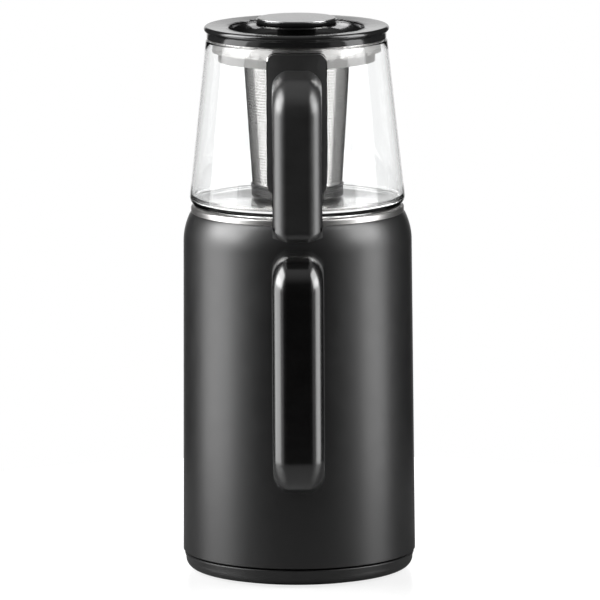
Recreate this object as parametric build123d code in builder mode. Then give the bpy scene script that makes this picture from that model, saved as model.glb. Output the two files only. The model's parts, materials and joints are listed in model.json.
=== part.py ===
from build123d import *
import os
from math import asin, cos, degrees, radians, sin, tan

# Two-tier electric tea maker. Millimetres, +Z up, origin at the centre of the face it stands on.
# The handles point along -Y, the spouts and the control lip along +Y.

full_turn = 360.0  # degrees
mid_quarter = radians(45.0)  # half way round a quarter arc

# ---------------------------------------------------------------- clearances
seat_gap = 0.3  # between pieces that stand on each other and lift apart
slip_gap = 0.3  # all round a piece that slides in a hole
parting_gap = 0.1  # between two halves of one moulding
sheet_gap = 0.05  # between sheet pieces that are joined
bond_gap = 0.15  # filled by adhesive

# ---------------------------------------------------------------- power base
base_radius = 78.0  # at the top edge
base_undercut = 1.2  # where the side starts to round inwards
base_tuck = 7.0  # at the underside
base_height = 12.0
base_side_drop = 4.0  # from the top to where the side starts to round inwards
base_underside = 1.2
base_wall = 2.0
base_roof = 1.8
base_edge_round = 0.8
base_floor_thickness = 2.0
lip_reach = 27.0  # of the control lip, beyond the round base
lip_root_half_width = 40.0
lip_tip_half_width = 31.0
lip_corner_radius = 12.0
lip_side_taper = 15.0  # degrees

foot_ring_inset = 5.0  # from the edge of the base's underside
foot_ring_width = 5.0
foot_ring_sunk = 0.8

base_screw_radius = 3.0
base_screw_head = 1.2
base_screw_length = 6.0
base_screw_inset = 7.0  # from the foot ring to the screws' centres
base_screw_count = 3
boss_wall = 2.0

# ---------------------------------------------------------------- round connector
plug_radius = 14.0
plug_height = 9.5  # above the base's top
plug_flange_width = 4.5
plug_flange_thickness = 1.6
plug_groove_inset = 3.5
plug_groove_width = 2.0
plug_groove_depth = 6.0
plug_pin_hole_radius = 2.5
plug_pin_hole_depth = 7.0
socket_wall = 5.5
socket_roof = 2.0
socket_flange_width = 3.0
socket_flange_thickness = 1.8
connector_gap = 0.6
blade_gap = 0.45  # on each side of the ring blade
pin_gap = 0.5
blade_end_gap = 1.0

# ---------------------------------------------------------------- controls
button_radius = 7.3
button_spacing = 30.0
button_proud = 1.2
button_travel = 1.2
button_flange_width = 1.3
button_flange_thickness = 1.2
button_dish_inset = 2.2
button_dish_depth = 0.4
button_dish_slope = 45.0  # degrees
button_edge_round = 0.4
controls_beyond_base = 12.8  # from the round base's edge to the buttons' centres
board_thickness = 1.4
board_stand = 0.6
board_depth = 16.0
board_half_width = 24.0
board_post_radius = 1.6
board_post_inset = 3.0
switch_size = 6.0
switch_plunger_radius = 1.6
switch_plunger_height = 0.3
relay_length = 10.0
relay_depth = 5.0
relay_height = 1.6
lens_radius = 2.0
lens_spacing = 9.0
lens_flange_width = 0.9
lens_flange_thickness = 1.2

gland_outer_radius = 3.9
gland_bore_radius = 3.0
gland_proud = 1.5
gland_length = 8.0
gland_skin = 0.9  # left of the roof above the gland
gland_beyond_base = 9.0  # from the round base's edge to the gland's centre

# ---------------------------------------------------------------- kettle body
seam_height = 1.2  # dark seam between the base's top and the shell's lower edge
shell_overhang = 0.6  # of the shell's foot beyond the base
shell_taper = 1.6
shell_thickness = 1.2
shell_height = 230.9
shoulder_height = 20.0
shoulder_radius = 42.0
shell_lip_chamfer = 0.4
rim_height = 3.9
rim_wall = 1.6
rim_top_thickness = 1.2
rim_seat_width = 9.75  # from the rim's outside to the mouth
rim_edge_round = 1.0

pot_thickness = 0.8
pot_corner_radius = 8.0

cover_thickness = 2.5
cover_wall = 2.4
cover_wall_height = 7.5
cover_foot_inset = 3.1
cover_foot_width = 10.0
cover_foot_height = 0.7
cover_screw_radius = 2.8
cover_screw_head = 1.2
cover_screw_length = 8.0
cover_screw_inset = 7.0  # from the heater plate's edge
cover_screw_count = 3
post_radius = 4.0

heater_plate_inset = 12.1  # from the pot's outside
heater_plate_thickness = 4.0
element_inset = 16.0  # from the heater plate's edge
element_tube_radius = 3.5
element_sunk = 1.5
element_gap = 0.1
element_opening = 40.0  # degrees left open between the element's two ends
thermostat_radius = 17.0
thermostat_height = 4.6
thermostat_tab_reach = 5.0
thermostat_tab_width = 9.0
thermostat_tab_thickness = 2.0

# ---------------------------------------------------------------- kettle spout
beak_height = 46.0
beak_reach = 17.0  # of the pouring tip, beyond the shell
beak_mouth_radius = 21.0  # of the wide end of the mouth
beak_mouth_tip_radius = 5.0
beak_root_radius = 14.0
beak_root_tip_radius = 2.0
beak_depth = 14.0  # of the wide end's centre, inside the shell
beak_root_sunk = 1.5  # of the beak's foot, inside the shell
beak_wall = 1.3
strainer_hole_radius = 1.9
strainer_columns = 3
strainer_rows = 3
strainer_pitch = 6.4
strainer_drop = 16.0  # of the middle row, below the shell's top

# ---------------------------------------------------------------- kettle handle
kettle_handle_width = 34.5
kettle_handle_stand = 44.0  # of the outer face, beyond the shell
kettle_handle_drop = 15.1  # below the shell's top
kettle_handle_height = 160.5
kettle_handle_shell_depth = 11.0
kettle_handle_cover_depth = 6.0
kettle_handle_corner = 25.0
kettle_handle_edge_round = 9.5
handle_cover_edge_round = 3.0
handle_cover_narrower = 0.8  # on each side
bracket_width = 16.0
bracket_height = 6.0
bracket_length = 14.0
handle_screw_radius = 3.0
handle_screw_head = 1.4
handle_screw_length = 12.0
handle_screw_inset = 26.0  # from the ends of the finger gap

# ---------------------------------------------------------------- kettle lid
kettle_lid_gap = 0.4  # inside the teapot's foot
kettle_lid_sheet = 0.8
kettle_lid_boss_radius = 46.0
kettle_lid_boss_height = 0.7
kettle_lid_skirt_gap = 1.0
kettle_lid_skirt_depth = 5.0
kettle_lid_cup_radius = 17.0
kettle_lid_cup_depth = 8.0
kettle_lid_bar_width = 7.0
kettle_lid_bar_height = 2.6
steam_hole_radius = 1.6
steam_hole_circle = 30.0
steam_hole_count = 6
lid_seal_height = 3.0
lid_seal_gap = 0.3

# ---------------------------------------------------------------- teapot glass
glass_height = 112.2
glass_heel_proud = 0.85  # of the heel, beyond the kettle's rim
glass_heel_height = 5.0
glass_foot_inset = 2.8
glass_foot_width = 6.0
glass_taper = 11.6
glass_wall = 2.2
glass_recess = 2.4
glass_floor = 2.8
glass_floor_corner = 3.0
pour_lip_top_radius = 15.0
pour_lip_reach = 7.5  # of the lip, beyond the glass at the top edge
pour_lip_root_radius = 6.0
pour_lip_length = 32.0

# ---------------------------------------------------------------- teapot handle
bracket_sheet = 0.8
plate_thickness = 3.0
plate_width = 39.0
plate_drop = 2.5  # below the glass's top
plate_height = 92.0
plate_corner_radius = 5.0
bracket_rim = 0.7  # the steel shows this far around the plate
grip_width = 33.0
grip_stand = 44.9  # of the outer face, beyond the glass's heel
grip_drop = 9.5  # below the glass's top
grip_fall = 4.0  # of the arm's top, from the plate to the corner
grip_length = 112.0
grip_shell_depth = 10.0
grip_cover_depth = 5.0
grip_corner = 24.0
grip_edge_round = 7.2
grip_end_round = 8.0  # of the two lower corners
grip_screw_radius = 2.6
grip_screw_head = 1.2
grip_screw_length = 7.0
grip_screw_drop = 22.0
grip_screw_pitch = 60.0

# ---------------------------------------------------------------- infuser
flange_sheet = 0.8
flange_overhang = 1.2  # the flange ends this far inside the glass's outer edge
flange_gap = 1.6  # between the flange's upper step and the glass
flange_step = 4.4  # from the upper step to the lower one
flange_upper_depth = 7.6
flange_lower_depth = 14.2
cone_top_radius = 35.7
cone_taper = 5.5
cone_sheet = 0.6
cone_neck = 4.0  # of straight wall below the flange
cone_above_floor = 0.8
cup_height = 9.2
cup_overlap = 2.0  # of the cone's lower end inside the cup's wall
cup_sheet = 0.6
cup_round = 2.0

# ---------------------------------------------------------------- lid
lid_overhang = 1.3  # beyond the glass's top edge
lid_waist_inset = 1.9
lid_height = 8.1
lid_edge_drop = 1.8
lid_waist_height = 3.4  # of the waist's top above the lid's underside
lid_ring_width = 16.3
lid_ring_fall = 1.2
lid_dish_depth = 9.0
lid_dish_round = 8.0
lid_shell = 2.4
liner_gap = 0.6
liner_thickness = 1.6
liner_floor_above_flange = 2.4
gasket_width = 2.0
gasket_depth = 3.0
knob_radius = 27.2
knob_height = 3.4
knob_rise = 1.1  # of the knob's underside above the lid's edge
knob_edge_round = 0.45
knob_disc_thickness = 0.8
knob_disc_inset = 0.9
knob_disc_round = 0.4
knob_ring_height = 0.9
knob_ring_width = 5.0
knob_stem_radius = 13.0
knob_screw_radius = 2.0
knob_screw_head_radius = 4.0
knob_screw_head = 1.6
knob_screw_length = 9.0

# ---------------------------------------------------------------- power base: what follows
base_side_radius = base_radius - base_undercut
base_side_height = base_height - base_side_drop
base_foot_radius = base_radius - base_tuck
cavity_radius = base_foot_radius - base_wall
cavity_top = base_height - base_roof
floor_top = base_underside + base_floor_thickness
foot_ring_radius = base_foot_radius - foot_ring_inset
base_screw_circle = foot_ring_radius - foot_ring_width - base_screw_inset
controls_y = base_radius + controls_beyond_base
gland_y = base_radius + gland_beyond_base
gland_height = base_height - gland_skin - gland_outer_radius
lip_slope = (lip_root_half_width - lip_tip_half_width) / (base_radius / 2 + lip_reach)
gland_x = lip_slope * (gland_y - base_radius / 2) - lip_root_half_width - gland_proud

# ---------------------------------------------------------------- kettle: what follows
kettle_floor_height = base_height + seat_gap
cover_plate_bottom = kettle_floor_height + cover_foot_height
cover_top = cover_plate_bottom + cover_thickness
plug_top = base_height + plug_height
plug_groove_radius = plug_radius - plug_groove_inset
socket_cavity_radius = plug_radius + connector_gap
socket_cavity_top = plug_top + connector_gap
socket_radius = socket_cavity_radius + socket_wall
socket_top = socket_cavity_top + socket_roof
plate_underside = socket_top + slip_gap + thermostat_height
pot_floor = plate_underside + heater_plate_thickness
shell_bottom = base_height + seam_height
shell_top = shell_bottom + shell_height
shoulder_start = shell_top - shoulder_height
shell_foot_radius = base_radius + shell_overhang
shell_top_radius = shell_foot_radius - shell_taper  # where the shoulder starts
shoulder_turn = degrees(asin((shoulder_height - shell_lip_chamfer) / shoulder_radius))
shoulder_centre = shell_top_radius - shoulder_radius
shell_lip_radius = shoulder_centre + shoulder_radius * cos(radians(shoulder_turn))
cover_radius = shell_foot_radius - shell_thickness - slip_gap
rim_radius = shell_lip_radius - shell_lip_chamfer
rim_top = shell_top + rim_height
rim_mouth_radius = rim_radius - rim_seat_width
pot_radius = rim_radius - rim_wall - sheet_gap
heater_plate_radius = pot_radius - heater_plate_inset
cover_screw_circle = heater_plate_radius - cover_screw_inset
element_circle = heater_plate_radius - element_inset
element_height = plate_underside + element_sunk - element_tube_radius

# ---------------------------------------------------------------- teapot and lid: what follows
glass_bottom = rim_top + seat_gap
glass_top = glass_bottom + glass_height
glass_heel_top = glass_bottom + glass_heel_height
glass_heel_radius = rim_radius + glass_heel_proud  # outside, where the wall meets the heel
glass_top_radius = glass_heel_radius - glass_taper
glass_foot_outer = glass_heel_radius - glass_foot_inset
glass_foot_inner = glass_foot_outer - glass_foot_width
glass_floor_top = glass_bottom + glass_recess + glass_floor
kettle_lid_radius = glass_foot_inner - kettle_lid_gap
plate_top = glass_top - plate_drop
plate_bottom = plate_top - plate_height
flange_seat = glass_top + seat_gap
flange_top = flange_seat + flange_sheet
flange_bottom = flange_seat - flange_lower_depth
flange_upper_radius = glass_top_radius - glass_wall - flange_gap
flange_lower_radius = flange_upper_radius - flange_step
cone_bottom_radius = cone_top_radius - cone_taper
cone_bottom = glass_floor_top + cone_above_floor
lid_underside = flange_top + seat_gap
lid_top_height = lid_underside + lid_height
lid_radius = glass_top_radius + lid_overhang
lid_waist_radius = lid_radius - lid_waist_inset
lid_ring_inner = lid_radius - lid_ring_width
knob_underside = lid_top_height + knob_rise


def around(radius, count):
    """Places evenly round a circle, the first towards the handles."""
    step = radians(full_turn / count)
    return [(radius * sin(step * i), -radius * cos(step * i)) for i in range(count)]


def at_height(places, height):
    """The same places lifted to a height."""
    return [(x, y, height) for x, y in places]


def shoulder_point(turn):
    """Point of the shell's shoulder arc, turn degrees after its start."""
    return (
        shoulder_centre + shoulder_radius * cos(radians(turn)),
        shoulder_start + shoulder_radius * sin(radians(turn)),
    )


def kettle_form(growth, bottom, top_chamfer):
    """Solid with the kettle's outer form, grown outwards by growth."""
    with BuildPart() as form:
        with BuildSketch(Plane.XZ):
            with BuildLine():
                middle = shoulder_point(shoulder_turn / 2)
                Polyline(
                    (0, shell_top),
                    (0, bottom),
                    (shell_foot_radius + growth, bottom),
                    (shell_top_radius + growth, shoulder_start),
                )
                ThreePointArc(
                    (shell_top_radius + growth, shoulder_start),
                    (middle[0] + growth, middle[1]),
                    (shell_lip_radius + growth, shell_top - shell_lip_chamfer),
                )
                Polyline(
                    (shell_lip_radius + growth, shell_top - shell_lip_chamfer),
                    (shell_lip_radius + growth - top_chamfer, shell_top),
                    (0, shell_top),
                )
            make_face()
        revolve(axis=Axis.Z)
    return form.part


def glass_radius(height, inwards=0):
    """Outer radius of the teapot's wall at a height, less inwards."""
    fall = glass_taper / (glass_top - glass_heel_top)
    return glass_heel_radius - fall * (height - glass_heel_top) - inwards


def glass_form(growth, bottom, top):
    """Cone with the teapot wall's outer form, grown outwards by growth."""
    with BuildPart() as form:
        with BuildSketch(Plane.XZ):
            with BuildLine():
                Polyline(
                    (0, bottom),
                    (glass_radius(bottom) + growth, bottom),
                    (glass_radius(top) + growth, top),
                    (0, top),
                    close=True,
                )
            make_face()
        revolve(axis=Axis.Z)
    return form.part


def lip_plan(inset):
    """Plan of the control lip, inset from its outline."""
    with BuildLine() as outline:
        FilletPolyline(
            (-lip_root_half_width + inset, 0),
            (-lip_root_half_width + inset, base_radius / 2),
            (-lip_tip_half_width + inset, base_radius + lip_reach - inset),
            (lip_tip_half_width - inset, base_radius + lip_reach - inset),
            (lip_root_half_width - inset, base_radius / 2),
            (lip_root_half_width - inset, 0),
            radius=lip_corner_radius - inset,
            close=True,
        )
    return outline.edges()


def base_profile(wall, top):
    """Half section of the power base, inside its wall and up to a height."""
    with BuildLine() as outline:
        Polyline((0, top), (base_radius - wall, top), (base_side_radius - wall, base_side_height))
        ThreePointArc(
            (base_side_radius - wall, base_side_height),
            (
                base_foot_radius - wall + (base_side_radius - base_foot_radius) * cos(mid_quarter),
                base_side_height - (base_side_height - base_underside) * sin(mid_quarter),
            ),
            (base_foot_radius - wall, base_underside),
        )
        Polyline((base_foot_radius - wall, base_underside), (0, base_underside), (0, top))
    return outline.edges()


def screws(places, plane_axis, radius, head, length):
    """Pan-head screws, each as a separate solid, with the head's outside at each place."""
    group = []
    for place in places:
        with BuildPart() as screw:
            with BuildSketch(Plane(origin=place, z_dir=plane_axis)):
                Circle(radius)
            extrude(amount=head)
            with BuildSketch(Plane(origin=place, z_dir=plane_axis)):
                Circle(radius / 2)
            extrude(amount=length)
        group.append(screw.part)
    return group


os.makedirs("parts", exist_ok=True)

# ================================================================ power base

# The top cover is the base's visible ring, with the control lip on its far side and screw bosses inside.
lip_inset = base_wall + (base_height - base_underside) * tan(radians(lip_side_taper))
button_places = [(-button_spacing / 2, controls_y), (button_spacing / 2, controls_y)]
lens_places = [(0, controls_y - lens_spacing / 2), (0, controls_y + lens_spacing / 2)]
base_screw_places = around(base_screw_circle, base_screw_count)

with BuildPart() as base_cover:
    with BuildSketch(Plane.XZ):
        make_face(base_profile(0, base_height))
    revolve(axis=Axis.Z)
    with BuildSketch(Plane.XY.offset(base_height)):
        make_face(lip_plan(0))
    extrude(amount=base_underside - base_height, taper=lip_side_taper)
    fillet(base_cover.faces().sort_by(Axis.Z)[-1].outer_wire().edges(), radius=base_edge_round)
    with BuildSketch(Plane.XZ):
        make_face(base_profile(base_wall, cavity_top))
    revolve(axis=Axis.Z, mode=Mode.SUBTRACT)
    with BuildSketch(Plane.XY.offset(base_underside)):
        make_face(lip_plan(lip_inset))
    extrude(amount=cavity_top - base_underside, mode=Mode.SUBTRACT)
    with BuildSketch(Plane.XY.offset(floor_top)):
        with Locations(*base_screw_places):
            Circle(base_screw_radius / 2 + boss_wall)
            Circle(base_screw_radius / 2 + parting_gap, mode=Mode.SUBTRACT)
    extrude(amount=cavity_top - floor_top)
    with BuildSketch(Plane.XY.offset(cavity_top)):
        Circle(plug_radius + slip_gap)
        with Locations(*button_places):
            Circle(button_radius + slip_gap)
        with Locations(*lens_places):
            Circle(lens_radius + parting_gap)
    extrude(amount=base_roof, mode=Mode.SUBTRACT)
    with BuildSketch(Plane.YZ.offset(gland_x)):
        with Locations((gland_y, gland_height)):
            Circle(gland_outer_radius)
    extrude(amount=gland_length, mode=Mode.SUBTRACT)
base_cover.part.label = "base_cover"
export_step(base_cover.part, "parts/base_cover.step")

# The floor closes the cover from below, carries posts for the board and is notched for the gland.
board_bottom = floor_top + board_stand

with BuildPart() as base_floor:
    with BuildSketch(Plane.XY.offset(base_underside)):
        Circle(cavity_radius - parting_gap)
        make_face(lip_plan(lip_inset + parting_gap))
    extrude(amount=base_floor_thickness)
    with BuildSketch(Plane.XY.offset(base_underside)):
        Circle(foot_ring_radius + parting_gap)
        Circle(foot_ring_radius - foot_ring_width - parting_gap, mode=Mode.SUBTRACT)
    extrude(amount=foot_ring_sunk, mode=Mode.SUBTRACT)
    with BuildSketch(Plane.XY.offset(base_underside)):
        with Locations(*base_screw_places):
            Circle(base_screw_radius + parting_gap)
    extrude(amount=base_screw_head, mode=Mode.SUBTRACT)
    with BuildSketch(Plane.XY.offset(base_underside)):
        with Locations(*base_screw_places):
            Circle(base_screw_radius / 2 + parting_gap)
    extrude(amount=base_floor_thickness, mode=Mode.SUBTRACT)
    with BuildSketch(Plane.XY.offset(floor_top)):
        with Locations((0, controls_y)):
            with GridLocations(
                2 * (board_half_width - board_post_inset), board_depth - 2 * board_post_inset, 2, 2
            ):
                Circle(board_post_radius)
    extrude(amount=board_stand)
    with BuildSketch(Plane.YZ.offset(gland_x)):
        with Locations((gland_y, gland_height)):
            Circle(gland_outer_radius)
    extrude(amount=gland_length, mode=Mode.SUBTRACT)
base_floor.part.label = "base_floor"
export_step(base_floor.part, "parts/base_floor.step")

# Rubber ring that the whole machine stands on.
with BuildPart() as foot_ring:
    with BuildSketch(Plane.XY):
        Circle(foot_ring_radius)
        Circle(foot_ring_radius - foot_ring_width, mode=Mode.SUBTRACT)
    extrude(amount=base_underside + foot_ring_sunk)
foot_ring.part.label = "foot_ring"
export_step(foot_ring.part, "parts/foot_ring.step")

base_screws = Compound(
    children=screws(
        at_height(base_screw_places, base_underside),
        (0, 0, 1),
        base_screw_radius,
        base_screw_head,
        base_screw_length,
    )
)
base_screws.label = "base_screws"
export_step(base_screws, "parts/base_screws.step")

# Male half of the round connector: a stepped post with a ring groove and a hole for the centre pin.
with BuildPart() as base_plug:
    with BuildSketch(Plane.XY.offset(cavity_top - plug_flange_thickness)):
        Circle(plug_radius + plug_flange_width)
    extrude(amount=plug_flange_thickness)
    with BuildSketch(Plane.XY.offset(cavity_top)):
        Circle(plug_radius)
    extrude(amount=base_roof + plug_height)
    fillet(base_plug.edges().group_by(Axis.Z)[-1], radius=base_edge_round)
    with BuildSketch(Plane.XY.offset(plug_top)):
        Circle(plug_groove_radius + plug_groove_width / 2)
        Circle(plug_groove_radius - plug_groove_width / 2, mode=Mode.SUBTRACT)
    extrude(amount=-plug_groove_depth, mode=Mode.SUBTRACT)
    with BuildSketch(Plane.XY.offset(plug_top)):
        Circle(plug_pin_hole_radius)
    extrude(amount=-plug_pin_hole_depth, mode=Mode.SUBTRACT)
base_plug.part.label = "base_plug"
export_step(base_plug.part, "parts/base_plug.step")

# Control board with its relay.
with BuildPart() as control_board:
    with BuildSketch(Plane.XY.offset(board_bottom)):
        with Locations((0, controls_y)):
            Rectangle(2 * board_half_width, board_depth)
    extrude(amount=board_thickness)
    with BuildSketch(Plane.XY.offset(board_bottom + board_thickness)):
        with Locations((0, controls_y - board_depth / 2 + relay_depth / 2)):
            Rectangle(relay_length, relay_depth)
    extrude(amount=relay_height)
control_board.part.label = "control_board"
export_step(control_board.part, "parts/control_board.step")

board_top = board_bottom + board_thickness
button_foot = cavity_top - slip_gap - button_flange_thickness
plunger_top = button_foot - button_travel - slip_gap
switch_height = plunger_top - switch_plunger_height - board_top
key_bodies = []
for x, y in button_places:
    with BuildPart() as key_switch:
        with BuildSketch(Plane.XY.offset(board_top)):
            with Locations((x, y)):
                Rectangle(switch_size, switch_size)
        extrude(amount=switch_height)
        with BuildSketch(Plane.XY.offset(board_top + switch_height)):
            with Locations((x, y)):
                Circle(switch_plunger_radius)
        extrude(amount=switch_plunger_height)
    key_bodies.append(key_switch.part)
key_switches = Compound(children=key_bodies)
key_switches.label = "key_switches"
export_step(key_switches, "parts/key_switches.step")


def button_cap(x, y):
    """Round push button with a shallow dish on top and a flange that holds it in the cover."""
    with BuildPart() as cap:
        with BuildSketch(Plane.XY.offset(cavity_top - slip_gap)):
            with Locations((x, y)):
                Circle(button_radius)
        extrude(amount=base_height + button_proud - cavity_top + slip_gap)
        fillet(cap.edges().group_by(Axis.Z)[-1], radius=button_edge_round)
        with BuildSketch(Plane.XY.offset(base_height + button_proud)):
            with Locations((x, y)):
                Circle(button_radius - button_dish_inset)
        extrude(amount=-button_dish_depth, taper=button_dish_slope, mode=Mode.SUBTRACT)
        with BuildSketch(Plane.XY.offset(cavity_top - slip_gap)):
            with Locations((x, y)):
                Circle(button_radius + button_flange_width)
        extrude(amount=-button_flange_thickness)
    return cap


boil_button = button_cap(*button_places[0])
boil_button.part.label = "boil_button"
export_step(boil_button.part, "parts/boil_button.step")

brew_button = button_cap(*button_places[1])
brew_button.part.label = "brew_button"
export_step(brew_button.part, "parts/brew_button.step")

lens_bodies = []
for x, y in lens_places:
    with BuildPart() as lens:
        with BuildSketch(Plane.XY.offset(cavity_top - lens_flange_thickness)):
            with Locations((x, y)):
                Circle(lens_radius + lens_flange_width)
        extrude(amount=lens_flange_thickness)
        with BuildSketch(Plane.XY.offset(cavity_top)):
            with Locations((x, y)):
                Circle(lens_radius)
        extrude(amount=base_roof)
    lens_bodies.append(lens.part)
indicator_lenses = Compound(children=lens_bodies)
indicator_lenses.label = "indicator_lenses"
export_step(indicator_lenses, "parts/indicator_lenses.step")

# Rubber gland in the side of the lip.
with BuildPart() as cord_gland:
    with BuildSketch(Plane.YZ.offset(gland_x)):
        with Locations((gland_y, gland_height)):
            Circle(gland_outer_radius - parting_gap)
    extrude(amount=gland_length)
    with BuildSketch(Plane.YZ.offset(gland_x)):
        with Locations((gland_y, gland_height)):
            Circle(gland_bore_radius)
    extrude(amount=gland_length, mode=Mode.SUBTRACT)
cord_gland.part.label = "cord_gland"
export_step(cord_gland.part, "parts/cord_gland.step")

# ================================================================ kettle

kettle_outside = kettle_form(0, shell_bottom, shell_lip_chamfer)
kettle_inside = kettle_form(-shell_thickness, shell_bottom - seam_height, 0)

# Painted steel shell with a rounded shoulder and the strainer holes behind the spout.
with BuildPart() as kettle_shell:
    add(kettle_outside)
    add(kettle_inside, mode=Mode.SUBTRACT)
    with BuildSketch(Plane.XZ):
        with Locations((0, shell_top - strainer_drop)):
            with GridLocations(strainer_pitch, strainer_pitch, strainer_columns, strainer_rows):
                Circle(strainer_hole_radius)
    extrude(amount=-shell_foot_radius, mode=Mode.SUBTRACT)
kettle_shell.part.label = "kettle_shell"
export_step(kettle_shell.part, "parts/kettle_shell.step")

# Inner steel pot with a rounded floor corner.
with BuildPart() as kettle_pot:
    with BuildSketch(Plane.XY.offset(pot_floor)):
        Circle(pot_radius)
    extrude(amount=rim_top - rim_top_thickness - pot_floor)
    fillet(kettle_pot.edges().group_by(Axis.Z)[0], radius=pot_corner_radius)
    offset(amount=-pot_thickness, openings=kettle_pot.faces().sort_by(Axis.Z)[-1])
    with BuildSketch(Plane.XZ):
        with Locations((0, shell_top - strainer_drop)):
            with GridLocations(strainer_pitch, strainer_pitch, strainer_columns, strainer_rows):
                Circle(strainer_hole_radius)
    extrude(amount=-shell_foot_radius, mode=Mode.SUBTRACT)
kettle_pot.part.label = "kettle_pot"
export_step(kettle_pot.part, "parts/kettle_pot.step")

# Polished ring that joins shell and pot and carries the teapot.
with BuildPart() as kettle_rim:
    with BuildSketch(Plane.XY.offset(shell_top)):
        Circle(rim_radius)
    extrude(amount=rim_height)
    fillet(kettle_rim.edges().group_by(Axis.Z)[-1], radius=rim_edge_round)
    with BuildSketch(Plane.XY.offset(shell_top)):
        Circle(rim_radius - rim_wall)
    extrude(amount=rim_height - rim_top_thickness, mode=Mode.SUBTRACT)
    with BuildSketch(Plane.XY.offset(shell_top)):
        Circle(rim_mouth_radius)
    extrude(amount=rim_height, mode=Mode.SUBTRACT)
kettle_rim.part.label = "kettle_rim"
export_step(kettle_rim.part, "parts/kettle_rim.step")


def beak_plan(height, wide_radius, tip_radius, tip_reach, inset):
    """Plan of the pouring beak at a height: a wide round end in the shell that narrows to a round tip."""
    with BuildSketch(Plane.XY.offset(height)) as plan:
        with Locations((0, shell_top_radius - beak_depth)):
            Circle(wide_radius - inset)
        with Locations((0, shell_top_radius + tip_reach - tip_radius)):
            Circle(tip_radius - inset)
        make_hull()
    return plan.sketch


def beak(inset):
    """Solid of the beak from its root up to its mouth, inset from its outside."""
    with BuildPart() as solid:
        root_height = shell_top - beak_height
        add(beak_plan(root_height, beak_root_radius, beak_root_tip_radius, -beak_root_sunk, inset))
        add(beak_plan(shell_top, beak_mouth_radius, beak_mouth_tip_radius, beak_reach, inset))
        loft()
    return solid.part


beak_outside = beak(0)
beak_inside = beak(beak_wall)

with BuildPart() as kettle_spout:
    add(beak_outside)
    add(beak_inside, mode=Mode.SUBTRACT)
    add(kettle_outside, mode=Mode.SUBTRACT)
kettle_spout.part.label = "kettle_spout"
export_step(kettle_spout.part, "parts/kettle_spout.step")

# Bottom cover: foot ring outside, hole for the socket in the middle, wall inside the shell.
cover_foot_radius = cover_radius - cover_foot_inset
cover_screw_places = around(cover_screw_circle, cover_screw_count)
with BuildPart() as kettle_bottom_cover:
    with BuildSketch(Plane.XY.offset(cover_plate_bottom)):
        Circle(cover_radius)
    extrude(amount=cover_thickness)
    with BuildSketch(Plane.XY.offset(cover_top)):
        Circle(cover_radius)
        Circle(cover_radius - cover_wall, mode=Mode.SUBTRACT)
    extrude(amount=cover_wall_height)
    with BuildSketch(Plane.XY.offset(kettle_floor_height)):
        Circle(cover_foot_radius)
        Circle(cover_foot_radius - cover_foot_width, mode=Mode.SUBTRACT)
    extrude(amount=cover_foot_height)
    with BuildSketch(Plane.XY.offset(cover_plate_bottom)):
        Circle(socket_radius + slip_gap)
        with Locations(*cover_screw_places):
            Circle(cover_screw_radius / 2 + parting_gap)
    extrude(amount=cover_thickness, mode=Mode.SUBTRACT)
    with BuildSketch(Plane.XY.offset(cover_plate_bottom)):
        with Locations(*cover_screw_places):
            Circle(cover_screw_radius + parting_gap)
    extrude(amount=cover_screw_head, mode=Mode.SUBTRACT)
kettle_bottom_cover.part.label = "kettle_bottom_cover"
export_step(kettle_bottom_cover.part, "parts/kettle_bottom_cover.step")

kettle_screws = Compound(
    children=screws(
        at_height(cover_screw_places, cover_plate_bottom),
        (0, 0, 1),
        cover_screw_radius,
        cover_screw_head,
        cover_screw_length,
    )
)
kettle_screws.label = "kettle_screws"
export_step(kettle_screws, "parts/kettle_screws.step")

# Female half of the round connector, which drops over the plug.
with BuildPart() as kettle_socket:
    with BuildSketch(Plane.XY.offset(cover_plate_bottom)):
        Circle(socket_radius)
    extrude(amount=socket_top - cover_plate_bottom)
    with BuildSketch(Plane.XY.offset(cover_top + slip_gap)):
        Circle(socket_radius + socket_flange_width)
    extrude(amount=socket_flange_thickness)
    with BuildSketch(Plane.XY.offset(cover_plate_bottom)):
        Circle(socket_cavity_radius)
    extrude(amount=socket_cavity_top - cover_plate_bottom, mode=Mode.SUBTRACT)
    with BuildSketch(Plane.XY.offset(socket_cavity_top)):
        Circle(plug_groove_radius + plug_groove_width / 2 - blade_gap)
        Circle(plug_groove_radius - plug_groove_width / 2 + blade_gap, mode=Mode.SUBTRACT)
    extrude(amount=blade_end_gap - plug_groove_depth - connector_gap)
    with BuildSketch(Plane.XY.offset(socket_cavity_top)):
        Circle(plug_pin_hole_radius - pin_gap)
    extrude(amount=blade_end_gap - plug_pin_hole_depth - connector_gap)
kettle_socket.part.label = "kettle_socket"
export_step(kettle_socket.part, "parts/kettle_socket.step")

# Heater plate under the pot, grooved for the tubular element, with posts down to the bottom cover.
with BuildPart() as element_groove:
    with BuildSketch(Plane.XZ):
        with Locations((element_circle, element_height)):
            Circle(element_tube_radius + element_gap)
    revolve(axis=Axis.Z)

with BuildPart() as heater_plate:
    with BuildSketch(Plane.XY.offset(plate_underside)):
        Circle(heater_plate_radius)
    extrude(amount=heater_plate_thickness)
    with BuildSketch(Plane.XY.offset(plate_underside)):
        with Locations(*cover_screw_places):
            Circle(post_radius)
    extrude(amount=cover_top - plate_underside)
    with BuildSketch(Plane.XY.offset(cover_top)):
        with Locations(*cover_screw_places):
            Circle(cover_screw_radius / 2 + parting_gap)
    extrude(amount=cover_screw_length, mode=Mode.SUBTRACT)
    add(element_groove.part, mode=Mode.SUBTRACT)
heater_plate.part.label = "heater_plate"
export_step(heater_plate.part, "parts/heater_plate.step")

with BuildPart() as heating_element:
    with BuildSketch(Plane.XZ):
        with Locations((element_circle, element_height)):
            Circle(element_tube_radius)
    revolve(axis=Axis.Z, revolution_arc=full_turn - element_opening)
heating_element.part.label = "heating_element"
export_step(heating_element.part, "parts/heating_element.step")

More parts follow.
